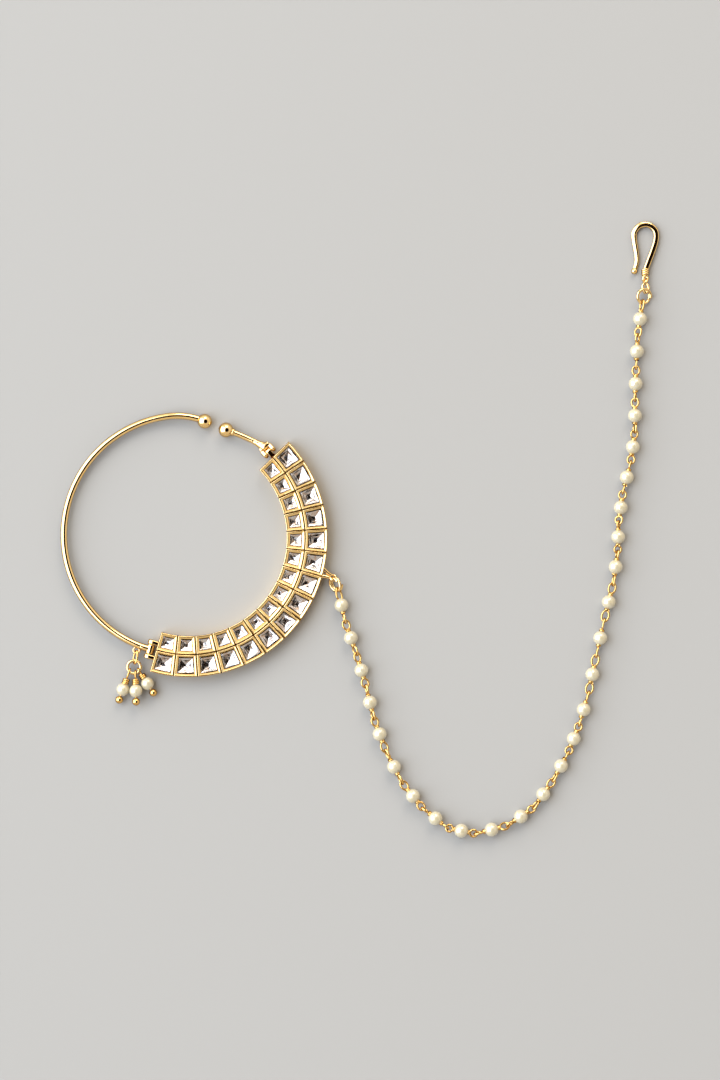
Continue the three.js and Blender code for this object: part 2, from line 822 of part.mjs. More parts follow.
// The origin is the middle of the whole piece's box, on the surface that it lies on
const box = new THREE.Box3().setFromObject(group);
const middle = box.getCenter(new THREE.Vector3());
group.position.set(-middle.x, -middle.y, -box.min.z);

export default group;
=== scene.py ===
import json
import math
import random

import bmesh
import bpy
from mathutils import Matrix, Vector, noise


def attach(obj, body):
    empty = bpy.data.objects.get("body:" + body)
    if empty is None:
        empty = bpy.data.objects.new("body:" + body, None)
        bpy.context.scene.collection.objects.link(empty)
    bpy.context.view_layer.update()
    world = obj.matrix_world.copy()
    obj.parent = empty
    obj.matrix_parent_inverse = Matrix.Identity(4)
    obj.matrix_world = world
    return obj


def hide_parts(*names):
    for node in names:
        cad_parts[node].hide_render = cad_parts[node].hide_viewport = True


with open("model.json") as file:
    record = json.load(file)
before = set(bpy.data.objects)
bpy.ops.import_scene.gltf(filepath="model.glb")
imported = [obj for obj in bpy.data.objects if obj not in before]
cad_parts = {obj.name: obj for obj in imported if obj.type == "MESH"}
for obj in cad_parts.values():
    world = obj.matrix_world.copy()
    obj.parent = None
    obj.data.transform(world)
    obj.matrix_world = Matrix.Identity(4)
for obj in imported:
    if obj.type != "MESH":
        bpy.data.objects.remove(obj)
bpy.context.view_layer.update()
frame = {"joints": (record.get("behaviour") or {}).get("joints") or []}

mm = 0.001  # every size below is in millimetres, every turn in degrees from +X
up = Vector((0, 0, 1))


def heading(turn):
    return Vector((math.cos(math.radians(turn)), math.sin(math.radians(turn)), 0))


def hexColour(text):
    # sRGB hex to the linear colour that the shaders work in
    parts = [int(text[i:i + 2], 16) / 255 for i in (1, 3, 5)]
    return (*[c / 12.92 if c <= 0.04045 else ((c + 0.055) / 1.055) ** 2.4 for c in parts], 1)


def setInputs(node, inputs):
    # An input takes a value, a socket, or a node, whose first open output it then reads
    for name, value in inputs.items():
        if isinstance(value, bpy.types.Node):
            value = next(output for output in value.outputs if output.enabled)
        if isinstance(value, bpy.types.NodeSocket):
            node.id_data.links.new(value, node.inputs[name])
        else:
            node.inputs[name].default_value = value
    return node


def addNode(tree, kind, inputs=None, **settings):
    node = tree.nodes.new(kind)
    for name, value in settings.items():
        setattr(node, name, value)
    return setInputs(node, inputs or {})


# Places that the pieces share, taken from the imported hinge
ring = dict(
    innerRadius=21.55, rowRadius=25.6, outerRadius=30.5, height=3.2,
    lowerEnd=-106.3, upperEnd=44.0, columns=15,
    pinRadius=25.85, pinHeight=1.6, hoopPinToFace=1.3, stubPinToFace=1.5,
)
joints = {joint["name"]: joint for joint in frame["joints"]}
hoopPinPlace = Vector(joints["hoop_hinge"]["pos_m"]) / mm
ringCentre = hoopPinPlace - heading(ring["lowerEnd"]) * ring["pinRadius"]
ringCentre -= heading(ring["lowerEnd"] - 90) * ring["hoopPinToFace"]
ringCentre.z = 0


def onRing(radius, turn, height=0.0):
    return ringCentre + heading(turn) * radius + up * height


def newPiece(name, corners, faces=(), edges=()):
    mesh = bpy.data.meshes.new(name)
    mesh.from_pydata([Vector(corner) * mm for corner in corners], edges, faces)
    piece = bpy.data.objects.new(name, mesh)
    bpy.context.scene.collection.objects.link(piece)
    return piece


def baked(piece):
    # What the modifiers make becomes the piece's own plain mesh
    depsgraph = bpy.context.evaluated_depsgraph_get()
    mesh = bpy.data.meshes.new_from_object(piece.evaluated_get(depsgraph), depsgraph=depsgraph)
    piece.modifiers.clear()
    piece.data = mesh
    return piece


def outward(piece, weld=0.0):
    sheet = bmesh.new()
    sheet.from_mesh(piece.data)
    if weld:
        bmesh.ops.remove_doubles(sheet, verts=sheet.verts, dist=weld * mm)
    bmesh.ops.recalc_face_normals(sheet, faces=sheet.faces)
    sheet.to_mesh(piece.data)
    sheet.free()
    return piece


def softened(piece, creaseTurn=35):
    piece.data.shade_smooth()
    piece.data.set_sharp_from_angle(angle=math.radians(creaseTurn))
    return piece


def together(name, pieces):
    # Several solids in one object, each with its own creases
    kept = pieces[0]
    with bpy.context.temp_override(
        active_object=kept, object=kept, selected_objects=pieces, selected_editable_objects=pieces,
    ):
        bpy.ops.object.join()
    kept.name = name
    return kept


def dress(piece, material):
    piece.data.materials.clear()
    piece.data.materials.append(material)
    return piece


def place(piece, body, slot, *nodes):
    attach(piece, body)
    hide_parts(*nodes)
    return piece


# Materials

# The dark brown third colour is painted shade, laid into grooves and onto wire flanks
goldTones = dict(
    light="#FFE2A6", deep="#F7CE88", paintedShade="#3E260A", edge="#8E5A20", toneGrain=1.6,
    roughLow=0.05, roughHigh=0.13, roughGrain=0.9,
    waveGrain=2.6, waveDepth=0.02, pitGrain=0.16, pitDepth=0.001,
)
foilTones = dict(creased="#D4BEAE", clear="#DCDADC", creaseGrain=0.8, roughness=0.14)
pearlTones = dict(light="#CCC3AA", deep="#C2B590", toneGrain=1.3, skinGrain=0.12, skinDepth=0.002)


def newMaterial(name):
    material = bpy.data.materials.new(name)
    material.use_nodes = True
    tree = material.node_tree
    return material, tree, tree.nodes["Principled BSDF"]


def grainNoise(tree, grain, detail=2.0):
    # Noise in the object's own space, its grain in millimetres
    where = addNode(tree, "ShaderNodeTexCoord").outputs["Object"]
    return addNode(tree, "ShaderNodeTexNoise", {
        "Vector": where, "Scale": 1 / (grain * mm), "Detail": detail,
    })


def grainBump(tree, grain, depth, detail, **more):
    return addNode(tree, "ShaderNodeBump", {
        "Height": grainNoise(tree, grain, detail), "Distance": depth * mm, "Strength": 1.0, **more,
    })


def mixed(tree, factor, first, second):
    return addNode(tree, "ShaderNodeMix", {"Factor": factor, "A": first, "B": second}, data_type="RGBA")


def platedGold(name, tones):
    # Brass under polished gold plating: hand polishing leaves soft waves that bend the highlights,
    # the tone drifts a little where the plating is thicker, a painted shade mask darkens grooves and
    # wire flanks towards dark brown, and the metal browns towards its outlines
    material, tree, shader = newMaterial(name)
    tone = mixed(tree, grainNoise(tree, tones["toneGrain"]),
                 hexColour(tones["deep"]), hexColour(tones["light"]))
    # Painted shade: this mask from the pieces darkens the gold towards the dark brown
    paintedShade = addNode(tree, "ShaderNodeAttribute", attribute_name="paintedShade").outputs["Fac"]
    rough = addNode(tree, "ShaderNodeMapRange", {
        "Value": grainNoise(tree, tones["roughGrain"], 3.0), "From Min": 0.3, "From Max": 0.7,
        "To Min": tones["roughLow"], "To Max": tones["roughHigh"],
    })
    waves = grainBump(tree, tones["waveGrain"], tones["waveDepth"], 1.0)
    setInputs(shader, {
        "Base Color": mixed(tree, paintedShade, tone, hexColour(tones["paintedShade"])),
        "Metallic": 1.0,
        "Roughness": rough,
        "Specular Tint": hexColour(tones["edge"]),
        "Normal": grainBump(tree, tones["pitGrain"], tones["pitDepth"], 2.0, Normal=waves),
    })
    return material


def cutCrystal():
    # Clear cut stone: no colour of its own, its polished facets bend the light so that parts of
    # the foil behind them flash white and others go dark
    material, tree, shader = newMaterial("cut_crystal")
    setInputs(shader, {
        "Base Color": hexColour("#FFFFFF"), "Roughness": 0.0, "IOR": 1.6, "Transmission Weight": 1.0,
    })
    return material


def silverFoil(tones):
    # Bright foil pressed on a stone's back: sends the light out again through the cut, so the
    # stone looks white in its closed pocket
    material, tree, shader = newMaterial("silver_foil")
    clear = addNode(tree, "ShaderNodeMapRange", {
        "Value": grainNoise(tree, tones["creaseGrain"]), "From Min": 0.38, "From Max": 0.58,
    })
    setInputs(shader, {
        "Base Color": mixed(tree, clear, hexColour(tones["creased"]), hexColour(tones["clear"])),
        "Metallic": 1.0,
        "Roughness": tones["roughness"],
    })
    return material


def creamPearl(tones):
    # Glass bead dipped in pearl lacquer: a cream body that light sinks into a little, under a
    # smooth clear skin that gives small sharp highlights
    material, tree, shader = newMaterial("cream_pearl")
    setInputs(shader, {
        "Base Color": mixed(tree, grainNoise(tree, tones["toneGrain"]),
                            hexColour(tones["deep"]), hexColour(tones["light"])),
        "Normal": grainBump(tree, tones["skinGrain"], tones["skinDepth"], 1.0),
        "Roughness": 0.3,
        "Subsurface Weight": 0.25,
        "Subsurface Radius": (1.0, 0.8, 0.5),
        "Subsurface Scale": 0.5 * mm,
        "Coat Weight": 1.0,
        "Coat IOR": 1.9,
        "Coat Roughness": 0.045,
    })
    return material


gold = platedGold("plated_gold", goldTones)
wireGold = platedGold("plated_wire", dict(goldTones, light="#EFC984", deep="#DFAE60", edge="#7C4E1C"))
crystal = cutCrystal()
foil = silverFoil(foilTones)
pearl = creamPearl(pearlTones)
print("materials made")


# Node trees: wire along a path, pieces seated on points, and columns round the arc

def newTree(name, inputs):
    tree = bpy.data.node_groups.new(name, "GeometryNodeTree")
    tree.interface.new_socket("Geometry", in_out="INPUT", socket_type="NodeSocketGeometry")
    sockets = {}
    for label, kind in (inputs | {"Material": "NodeSocketMaterial"}).items():
        sockets[label] = tree.interface.new_socket(label, in_out="INPUT", socket_type=kind).identifier
    tree.interface.new_socket("Geometry", in_out="OUTPUT", socket_type="NodeSocketGeometry")
    return tree, sockets, addNode(tree, "NodeGroupInput").outputs


def endTree(tree, geometry, material):
    finished = addNode(tree, "GeometryNodeSetMaterial", {"Geometry": geometry, "Material": material})
    addNode(tree, "NodeGroupOutput", {"Geometry": finished})


def drawnWireTree():
    # Each chain of edges becomes a wire with the profile's section, as thick as its points say
    tree, sockets, given = newTree("drawn_wire", {"Profile": "NodeSocketObject", "Level": "NodeSocketBool"})
    path = addNode(tree, "GeometryNodeMeshToCurve", {"Mesh": given["Geometry"]})
    held = addNode(tree, "GeometryNodeSetCurveNormal", {
        "Curve": path, "Selection": given["Level"],
    }, mode="Z_UP")
    lean = addNode(tree, "GeometryNodeInputNamedAttribute", {"Name": "tilt"}, data_type="FLOAT")
    turned = addNode(tree, "GeometryNodeSetCurveTilt", {"Curve": held, "Tilt": lean})
    section = addNode(tree, "GeometryNodeObjectInfo", {"Object": given["Profile"]})
    sectionPath = addNode(tree, "GeometryNodeMeshToCurve", {"Mesh": section.outputs["Geometry"]})
    thickness = addNode(tree, "GeometryNodeInputNamedAttribute", {"Name": "wireRadius"}, data_type="FLOAT")
    wire = addNode(tree, "GeometryNodeCurveToMesh", {
        "Curve": turned, "Profile Curve": sectionPath, "Scale": thickness, "Fill Caps": True,
    })
    whole = addNode(tree, "GeometryNodeRealizeInstances", {"Geometry": wire})
    endTree(tree, whole, given["Material"])
    return tree, sockets


def seatedTree():
    # A copy of the piece on each point, its X along the point's way and its Y near the point's
    # side, each tipped a little at random as hand work is, its corners under a height uneven
    tree, sockets, given = newTree("seated_pieces", {
        "Piece": "NodeSocketObject", "Tip": "NodeSocketFloat", "Seed": "NodeSocketInt",
        "Spread": "NodeSocketFloat", "Grain": "NodeSocketFloat", "Below": "NodeSocketFloat",
    })
    copied = addNode(tree, "GeometryNodeObjectInfo", {"Object": given["Piece"]})
    way = addNode(tree, "GeometryNodeInputNamedAttribute", {"Name": "way"}, data_type="FLOAT_VECTOR")
    side = addNode(tree, "GeometryNodeInputNamedAttribute", {"Name": "side"}, data_type="FLOAT_VECTOR")
    facing = addNode(tree, "FunctionNodeAxesToRotation", {
        "Primary Axis": way, "Secondary Axis": side,
    }, primary_axis="X", secondary_axis="Y")
    least = addNode(tree, "ShaderNodeMath", {0: given["Tip"], 1: -1.0}, operation="MULTIPLY")
    tip = addNode(tree, "FunctionNodeRandomValue", {
        "Min": least, "Max": given["Tip"], "Seed": given["Seed"],
    }, data_type="FLOAT_VECTOR")
    tipTurn = addNode(tree, "FunctionNodeEulerToRotation", {"Euler": tip})
    tipped = addNode(tree, "FunctionNodeRotateRotation", {
        "Rotation": facing, "Rotate By": tipTurn,
    }, rotation_space="LOCAL")
    seats = addNode(tree, "GeometryNodeInstanceOnPoints", {
        "Points": given["Geometry"], "Instance": copied.outputs["Geometry"], "Rotation": tipped,
    })
    whole = addNode(tree, "GeometryNodeRealizeInstances", {"Geometry": seats})
    spot = addNode(tree, "GeometryNodeInputPosition")
    height = addNode(tree, "ShaderNodeSeparateXYZ", {"Vector": spot})
    low = addNode(tree, "FunctionNodeCompare", {
        "A": height.outputs["Z"], "B": given["Below"],
    }, data_type="FLOAT", operation="LESS_THAN")
    uneven = addNode(tree, "ShaderNodeTexNoise", {"Vector": spot, "Scale": given["Grain"]})
    level = addNode(tree, "ShaderNodeMath", {0: uneven, 1: 0.5}, operation="SUBTRACT")
    shift = addNode(tree, "ShaderNodeMath", {0: level, 1: given["Spread"]}, operation="MULTIPLY")
    sink = addNode(tree, "ShaderNodeCombineXYZ", {"Z": shift})
    cut = addNode(tree, "GeometryNodeSetPosition", {
        "Geometry": whole, "Selection": low, "Offset": sink,
    })
    endTree(tree, cut, given["Material"])
    return tree, sockets


def columnsTree():
    # Turns copies of one column round the ring's centre and welds them where they meet
    tree, sockets, given = newTree("columns_round_arc", {
        "Columns": "NodeSocketInt", "First Turn": "NodeSocketFloat", "Column Turn": "NodeSocketFloat",
        "Weld": "NodeSocketFloat",
    })
    starts = addNode(tree, "GeometryNodeMeshLine", {"Count": given["Columns"], "Offset": (0, 0, 0)})
    index = addNode(tree, "GeometryNodeInputIndex")
    turn = addNode(tree, "ShaderNodeMath", {
        0: index, 1: given["Column Turn"], 2: given["First Turn"],
    }, operation="MULTIPLY_ADD")
    euler = addNode(tree, "ShaderNodeCombineXYZ", {"Z": turn})
    rotation = addNode(tree, "FunctionNodeEulerToRotation", {"Euler": euler})
    columns = addNode(tree, "GeometryNodeInstanceOnPoints", {
        "Points": starts, "Instance": given["Geometry"], "Rotation": rotation,
    })
    whole = addNode(tree, "GeometryNodeRealizeInstances", {"Geometry": columns})
    welded = addNode(tree, "GeometryNodeMergeByDistance", {"Geometry": whole, "Distance": given["Weld"]})
    endTree(tree, welded, given["Material"])
    return tree, sockets


wireTree, wireSockets = drawnWireTree()
seatTree, seatSockets = seatedTree()
arcTree, arcSockets = columnsTree()


def grown(piece, tree, sockets, values):
    modifier = piece.modifiers.new(tree.name, "NODES")
    modifier.node_group = tree
    for label, value in values.items():
        modifier[sockets[label]] = value
    return baked(piece)


def sectionProfile(name, sides, square=0.0, flat=1.0):
    # Section of unit radius; square pulls it from round towards a square with soft corners
    power = 1 / (1 + 3 * square)
    corners = []
    for i in range(sides):
        turn = 2 * math.pi * (i + 0.5) / sides
        x, y = math.cos(turn), math.sin(turn)
        corners.append((math.copysign(abs(x) ** power, x), flat * math.copysign(abs(y) ** power, y), 0))
    section = bpy.data.meshes.new(name)
    section.from_pydata(corners, [(i, (i + 1) % sides) for i in range(sides)], [])
    return bpy.data.objects.new(name, section)


roundSection = sectionProfile("round_section", 14)
fineSection = sectionProfile("fine_section", 28)
hookSection = sectionProfile("hook_section", 28, square=0.2, flat=0.8)


def paintedShadeOnFlanks(piece, amount):
    # Painted shade: a wire's flanks, turned sideways and down, are coloured browner than its top
    layer = piece.data.attributes.new("paintedShade", "FLOAT", "POINT")
    layer.data.foreach_set("value", [
        amount * max(0, min(1, (0.5 - corner.normal.z) / 0.5)) for corner in piece.data.vertices])


def drawnWires(name, strands, section, level=False, flankShade=0.6):
    # strands: points, radius (one or one a point), tilts and whether the wire closes on itself
    corners, edges, radii, tilts = [], [], [], []
    for strand in strands:
        first = len(corners)
        points = strand["points"]
        radius = strand["radius"]
        corners += points
        radii += radius if isinstance(radius, list) else [radius] * len(points)
        tilts += strand.get("tilts", [0.0] * len(points))
        edges += [(first + i, first + i + 1) for i in range(len(points) - 1)]
        if strand.get("closed"):
            edges.append((first + len(points) - 1, first))
    piece = newPiece(name, corners, edges=edges)
    thickness = piece.data.attributes.new("wireRadius", "FLOAT", "POINT")
    thickness.data.foreach_set("value", [radius * mm for radius in radii])
    lean = piece.data.attributes.new("tilt", "FLOAT", "POINT")
    lean.data.foreach_set("value", [math.radians(tilt) for tilt in tilts])
    grown(piece, wireTree, wireSockets, {
        "Profile": section, "Level": level, "Material": gold,
    })
    softened(outward(piece), 50)
    # Painted shade on the wire's flanks
    paintedShadeOnFlanks(piece, flankShade)
    return piece


def seated(name, piece, spots, material, tip=0.0, seed=1, spread=0.0, grain=1.0, below=0.0):
    # spots: place, way and side of each copy; spread moves the corners below a height, unevenly
    points = newPiece(name, [spot[0] for spot in spots])
    for attribute, column in (("way", 1), ("side", 2)):
        layer = points.data.attributes.new(attribute, "FLOAT_VECTOR", "POINT")
        layer.data.foreach_set("vector", [value for spot in spots for value in spot[column]])
    grown(points, seatTree, seatSockets, {
        "Piece": piece, "Tip": math.radians(tip), "Seed": seed, "Material": material,
        "Spread": spread * mm, "Grain": 1 / (grain * mm), "Below": below * mm,
    })
    bpy.data.objects.remove(piece)
    return points


def turnedPiece(name, rows, centre, axis, sides=40):
    # Round piece about an axis; each row is a radius and a place along the axis
    axis = axis.normalized()
    side = axis.orthogonal().normalized()
    facing = axis.cross(side)
    corners, faces, loops = [], [], []
    for radius, along in rows:
        first = len(corners)
        if radius == 0:
            corners.append(centre + axis * along)
            loops.append([first] * sides)
            continue
        for i in range(sides):
            turn = 2 * math.pi * i / sides
            spoke = side * math.cos(turn) + facing * math.sin(turn)
            corners.append(centre + axis * along + spoke * radius)
        loops.append(list(range(first, first + sides)))
    for lower, upper in zip(loops, loops[1:]):
        for i in range(sides):
            j = (i + 1) % sides
            quad = []
            for corner in (lower[i], lower[j], upper[j], upper[i]):
                if corner not in quad:
                    quad.append(corner)
            if len(quad) > 2:
                faces.append(quad)
    return outward(newPiece(name, corners, faces))


def ballRows(radius, centre=0.0, bands=24):
    profile = []
    for i in range(bands + 1):
        turn = math.radians(180 * i / bands - 90)
        profile.append((radius * math.cos(turn) if 0 < i < bands else 0, centre + radius * math.sin(turn)))
    return profile


def mirrored(profile):
    # The rows of one end of a round piece, with the same ones at its other end before them
    return [(radius, -along) for radius, along in profile[::-1]] + profile


def across(axis, roll):
    # The two ways across an axis, the first one level, both rolled about the axis
    level = up.cross(axis).normalized()
    raised = axis.cross(level)
    side = level * math.cos(math.radians(roll)) + raised * math.sin(math.radians(roll))
    return side, axis.cross(side)


def ovalPath(centre, axis, roll, halfLength, halfWidth, steps=40,
             pear=0.0, sweep=360.0, start=0.0, lift=0.0):
    # Oval round a centre, long along the axis; pear narrows its near end, lift spreads its turns
    side, facing = across(axis, roll)
    points = []
    count = steps if sweep == 360 and not lift else steps + 1
    for i in range(count):
        share = i / steps
        turn = math.radians(start + sweep * share)
        wide = halfWidth * math.sin(turn) * (1 - pear * math.cos(turn))
        points.append(centre + axis * (-halfLength * math.cos(turn)) + side * wide
                      + facing * lift * (share - 0.5))
    return points


def closedWire(wire, centre, axis, roll, halfLength, halfWidth=None, **more):
    points = ovalPath(centre, axis, roll, halfLength, halfWidth or halfLength, **more)
    return dict(radius=wire, closed=True, points=points)


def coilPath(start, axis, radius, turns, length, steps=18, phase=0.0):
    side, facing = across(axis, phase)
    count = int(turns * steps)
    points = []
    for i in range(count + 1):
        turn = 2 * math.pi * i / steps
        points.append(start + axis * (length * i / count)
                      + side * (radius * math.cos(turn)) + facing * (radius * math.sin(turn)))
    return points


def smoothRoute(points, share):
    # Centripetal spline through the points, at a share of their count
    last = len(points) - 1
    spot = last * share
    i = min(int(spot), last - 1)
    weight = spot - i
    second, third = points[i], points[i + 1]
    first = points[i - 1] if i > 0 else points[0] * 2 - points[1]
    fourth = points[i + 2] if i + 2 <= last else points[last] * 2 - points[last - 1]
    gaps = [(a - b).length ** 0.5 for a, b in ((first, second), (second, third), (third, fourth))]
    before = ((second - first) / gaps[0] - (third - first) / (gaps[0] + gaps[1])
              + (third - second) / gaps[1]) * gaps[1]
    after = ((third - second) / gaps[1] - (fourth - second) / (gaps[1] + gaps[2])
             + (fourth - third) / gaps[2]) * gaps[1]
    square = (third - second) * 3 - before * 2 - after
    cube = (second - third) * 2 + before + after
    return second + before * weight + square * weight ** 2 + cube * weight ** 3


# Setting: a crescent of framed cells, one column modelled and the rest turned from it

cell = dict(
    rimRadius=0.14, grooveDrop=0.42, grooveSlope=72.0, rimToBevel=42.0,
    outerBorder=0.74, innerBorder=0.78, bevelDrop=0.46, seatInset=0.06, seatStep=0.05, pocketDrop=2.2,
    wallStep=0.02, cornerWidth=0.1, arcSteps=10, rimSteps=7, edgeRound=0.14,
)
rows = [
    dict(near=ring["innerRadius"], far=ring["rowRadius"], border=cell["innerBorder"], wallAt="near"),
    dict(near=ring["rowRadius"], far=ring["outerRadius"], border=cell["outerBorder"], wallAt="far"),
]
columnTurn = (ring["upperEnd"] - ring["lowerEnd"]) / ring["columns"]


def rimProfile(border):
    # Inset and drop of each loop, at the sides that meet a neighbour and at the outside wall
    radius = cell["rimRadius"]
    slope, bevel = math.radians(cell["grooveSlope"]), math.radians(cell["rimToBevel"])
    crest = radius * math.sin(slope) + (
        cell["grooveDrop"] - radius * (1 - math.cos(slope))) / math.tan(slope)
    shared, wall = [(0, cell["grooveDrop"])], [(0, radius + cell["wallStep"])]
    for i in range(cell["rimSteps"]):
        share = i / (cell["rimSteps"] - 1)
        turn = slope - (slope + bevel) * share
        shared.append((crest - radius * math.sin(turn), radius * (1 - math.cos(turn))))
        turn = math.pi / 2 - (math.pi / 2 + bevel) * share
        middle = radius if turn > 0 else crest
        wall.append((middle - radius * math.sin(turn), radius * (1 - math.cos(turn))))
    seat = border - cell["seatInset"]
    tail = [(border, cell["bevelDrop"]), (seat, cell["bevelDrop"] + cell["seatStep"]),
            (seat, cell["pocketDrop"])]
    return list(zip(shared + tail, wall + tail))


def cellCorners(row, inset, wallInset):
    # The near and far radius of a cell on the +X axis, and how far its sides turn from it there
    near = row["near"] + (wallInset if row["wallAt"] == "near" else inset)
    far = row["far"] - (wallInset if row["wallAt"] == "far" else inset)
    half = math.radians(columnTurn / 2)
    nearTurn, farTurn = half - math.asin(inset / near), half - math.asin(inset / far)
    return near, far, nearTurn, farTurn


def cellLoop(row, sharedSide, wallSide, beforeCrest):
    inset, drop = sharedSide
    wallInset, wallDrop = wallSide
    near, far, nearTurn, farTurn = cellCorners(row, inset, wallInset)
    edge = cell["cornerWidth"] / (far * math.radians(columnTurn / 2))
    steps = cell["arcSteps"]
    shares = [0] + [edge + (1 - 2 * edge) * i / (steps - 2) for i in range(steps - 1)] + [1]
    top = ring["height"]
    loop, paintedShadeDepths = [], []
    for radius, most, reach, wallHere in (
        (far, farTurn, 1, row["wallAt"] == "far"), (near, nearTurn, -1, row["wallAt"] == "near"),
    ):
        for i, share in enumerate(shares):
            turn = reach * most * (2 * share - 1)
            isCorner = i in (0, steps)
            onWall = wallHere and not isCorner
            height = top - (wallDrop if onWall else drop)
            loop.append(Vector((radius * math.cos(turn), radius * math.sin(turn), height)))
            # Painted shade: loops down in the grooves between cells darken with their depth
            paintedShadeDepths.append(drop / cell["grooveDrop"] if beforeCrest and not onWall else 0)
    return loop, paintedShadeDepths


def settingColumn():
    corners, faces, paintedShadeDepths = [], [], []
    steps = cell["arcSteps"]
    walls = {}
    for row in rows:
        loops = []
        for i, (sharedSide, wallSide) in enumerate(rimProfile(row["border"])):
            loops.append(range(len(corners), len(corners) + 2 * (steps + 1)))
            loop, depths = cellLoop(row, sharedSide, wallSide, i < cell["rimSteps"] / 2)
            corners += loop
            paintedShadeDepths += depths
        for outer, inner in zip(loops, loops[1:]):
            count = len(outer)
            for i in range(count):
                j = (i + 1) % count
                faces.append((outer[i], outer[j], inner[j], inner[i]))
        faces.append(tuple(loops[-1]))
        half = steps + 1
        walls[row["wallAt"]] = list(loops[0][:half] if row["wallAt"] == "far" else loops[0][half:])
    edgeRound = cell["edgeRound"]
    drops = [(0, edgeRound)] + [
        (edgeRound * (1 - math.cos(turn)), edgeRound * (1 - math.sin(turn)))
        for turn in (math.pi / 6, math.pi / 3, math.pi / 2)
    ]
    feet = {}
    for wallAt, top in walls.items():
        inward = -1 if wallAt == "far" else 1
        above = top
        for inset, height in drops:
            below = range(len(corners), len(corners) + len(top))
            for index in top:
                corner = corners[index]
                flat = Vector((corner.x, corner.y, 0))
                corners.append(flat + flat.normalized() * inward * inset + up * height)
            faces += [(above[i], below[i], below[i + 1], above[i + 1]) for i in range(len(top) - 1)]
            above = below
        feet[wallAt] = list(above)
    near = feet["near"][::-1]
    far = feet["far"]
    faces += [(far[i], near[i], near[i + 1], far[i + 1]) for i in range(len(far) - 1)]
    column = newPiece("setting_column", corners, faces)
    # Painted shade mask: the grooves between cells are coloured darker
    layer = column.data.attributes.new("paintedShade", "FLOAT", "POINT")
    layer.data.foreach_set("value", paintedShadeDepths + [0.0] * (len(corners) - len(paintedShadeDepths)))
    return column


def closeEnds(piece):
    sheet = bmesh.new()
    sheet.from_mesh(piece.data)
    bmesh.ops.holes_fill(sheet, edges=[edge for edge in sheet.edges if edge.is_boundary], sides=0)
    sheet.to_mesh(piece.data)
    sheet.free()


def hingeFrame(end, away, pinToFace):
    turn = ring[end]
    pinWay, outWay = heading(turn), heading(turn + 90 * away)
    return onRing(ring["pinRadius"], turn, ring["pinHeight"]) + outWay * pinToFace, pinWay, outWay


hoopPin = hingeFrame("lowerEnd", -1, ring["hoopPinToFace"])
stubPin = hingeFrame("upperEnd", 1, ring["stubPinToFace"])


def bevelled(piece, width, segments=3):
    bevel = piece.modifiers.new("bevel", "BEVEL")
    bevel.width = width * mm
    bevel.segments = segments
    bevel.limit_method = "ANGLE"
    bevel.angle_limit = math.radians(40)
    return softened(baked(piece), 40)


def hingePlate(name, pin, middle, width, root, rootHalf, radius, soft=0.14):
    # Plate across the pin: a straight root towards the setting or away from it, a round end
    centre, pinWay, outWay = pin
    away = -math.copysign(1, root)
    outline = [(root, -rootHalf)]
    steps = 16
    for i in range(steps + 1):
        turn = math.radians(-90 + 180 * i / steps)
        outline.append((away * radius * math.cos(turn), radius * math.sin(turn)))
    outline.append((root, rootHalf))
    count = len(outline)
    corners = [centre + pinWay * (middle + side * width / 2) + outWay * v + up * w
               for side in (-1, 1) for v, w in outline]
    faces = [tuple(range(count)), tuple(range(2 * count - 1, count - 1, -1))]
    faces += [(i, (i + 1) % count, count + (i + 1) % count, count + i) for i in range(count)]
    return bevelled(outward(newPiece(name, corners, faces)), soft)


fork = dict(
    barrelLength=2.1, barrelRadius=0.85, clearance=0.1, armWidth=0.95, armRadius=1.0, bite=0.3, soft=0.2,
)
armMiddle = fork["barrelLength"] / 2 + fork["clearance"] + fork["armWidth"] / 2
stubLug = dict(length=1.1, radius=0.8, rootHalf=0.5)
lug = dict(
    turn=-14.6, lean=-10.5, reach=2.4, rootHalf=0.85, tipHalf=0.36, wire=0.42, height=1.6,
    eyeRadius=0.75, eyeWire=0.5, eyeRoll=-45.0, sunk=0.35, short=0.3,
)
lugWay = heading(lug["turn"] + lug["lean"])
lugRoot = onRing(ring["outerRadius"], lug["turn"], lug["height"])
lugEye = lugRoot + lugWay * lug["reach"]


def makeSetting():
    body = settingColumn()
    grown(body, arcTree, arcSockets, {
        "Columns": ring["columns"], "Weld": 0.004 * mm, "Material": gold,
        "First Turn": math.radians(ring["lowerEnd"] + columnTurn / 2),
        "Column Turn": math.radians(columnTurn),
    })
    closeEnds(body)
    body.data.transform(Matrix.Translation(ringCentre * mm))
    softened(outward(body), 32)
    arms = [hingePlate("arm", hoopPin, side * armMiddle, fork["armWidth"],
                       -ring["hoopPinToFace"] - fork["bite"], fork["armRadius"], fork["armRadius"],
                       fork["soft"])
            for side in (-1, 1)]
    barrel = hingePlate("barrel", stubPin, 0, stubLug["length"], -ring["stubPinToFace"] - fork["bite"],
                        stubLug["rootHalf"], stubLug["radius"])
    side, facing = across(lugWay, 0)
    strands = [closedWire(lug["eyeWire"] / 2, lugEye, lugWay, lug["eyeRoll"], lug["eyeRadius"])]
    for hand in (-1, 1):
        points, radii = [], []
        for i in range(9):
            share = i / 8
            half = lug["rootHalf"] + (lug["tipHalf"] - lug["rootHalf"]) * math.sin(math.pi * share / 2)
            along = (lug["reach"] - lug["short"]) * share - lug["sunk"]
            points.append(lugRoot + lugWay * along + side * hand * half)
            radii.append(lug["wire"] * (1.15 - 0.35 * share))
        strands.append(dict(points=points, radius=radii))
    wires = drawnWires("lug_wires", strands, fineSection)
    piece = together("setting_body", [body, *arms, barrel, wires])
    return place(dress(piece, gold), "ring", "gold", "setting")


makeSetting()
print("setting made")

# Stones: a square cut, its pavilion in rings of chevrons round a nearly level middle

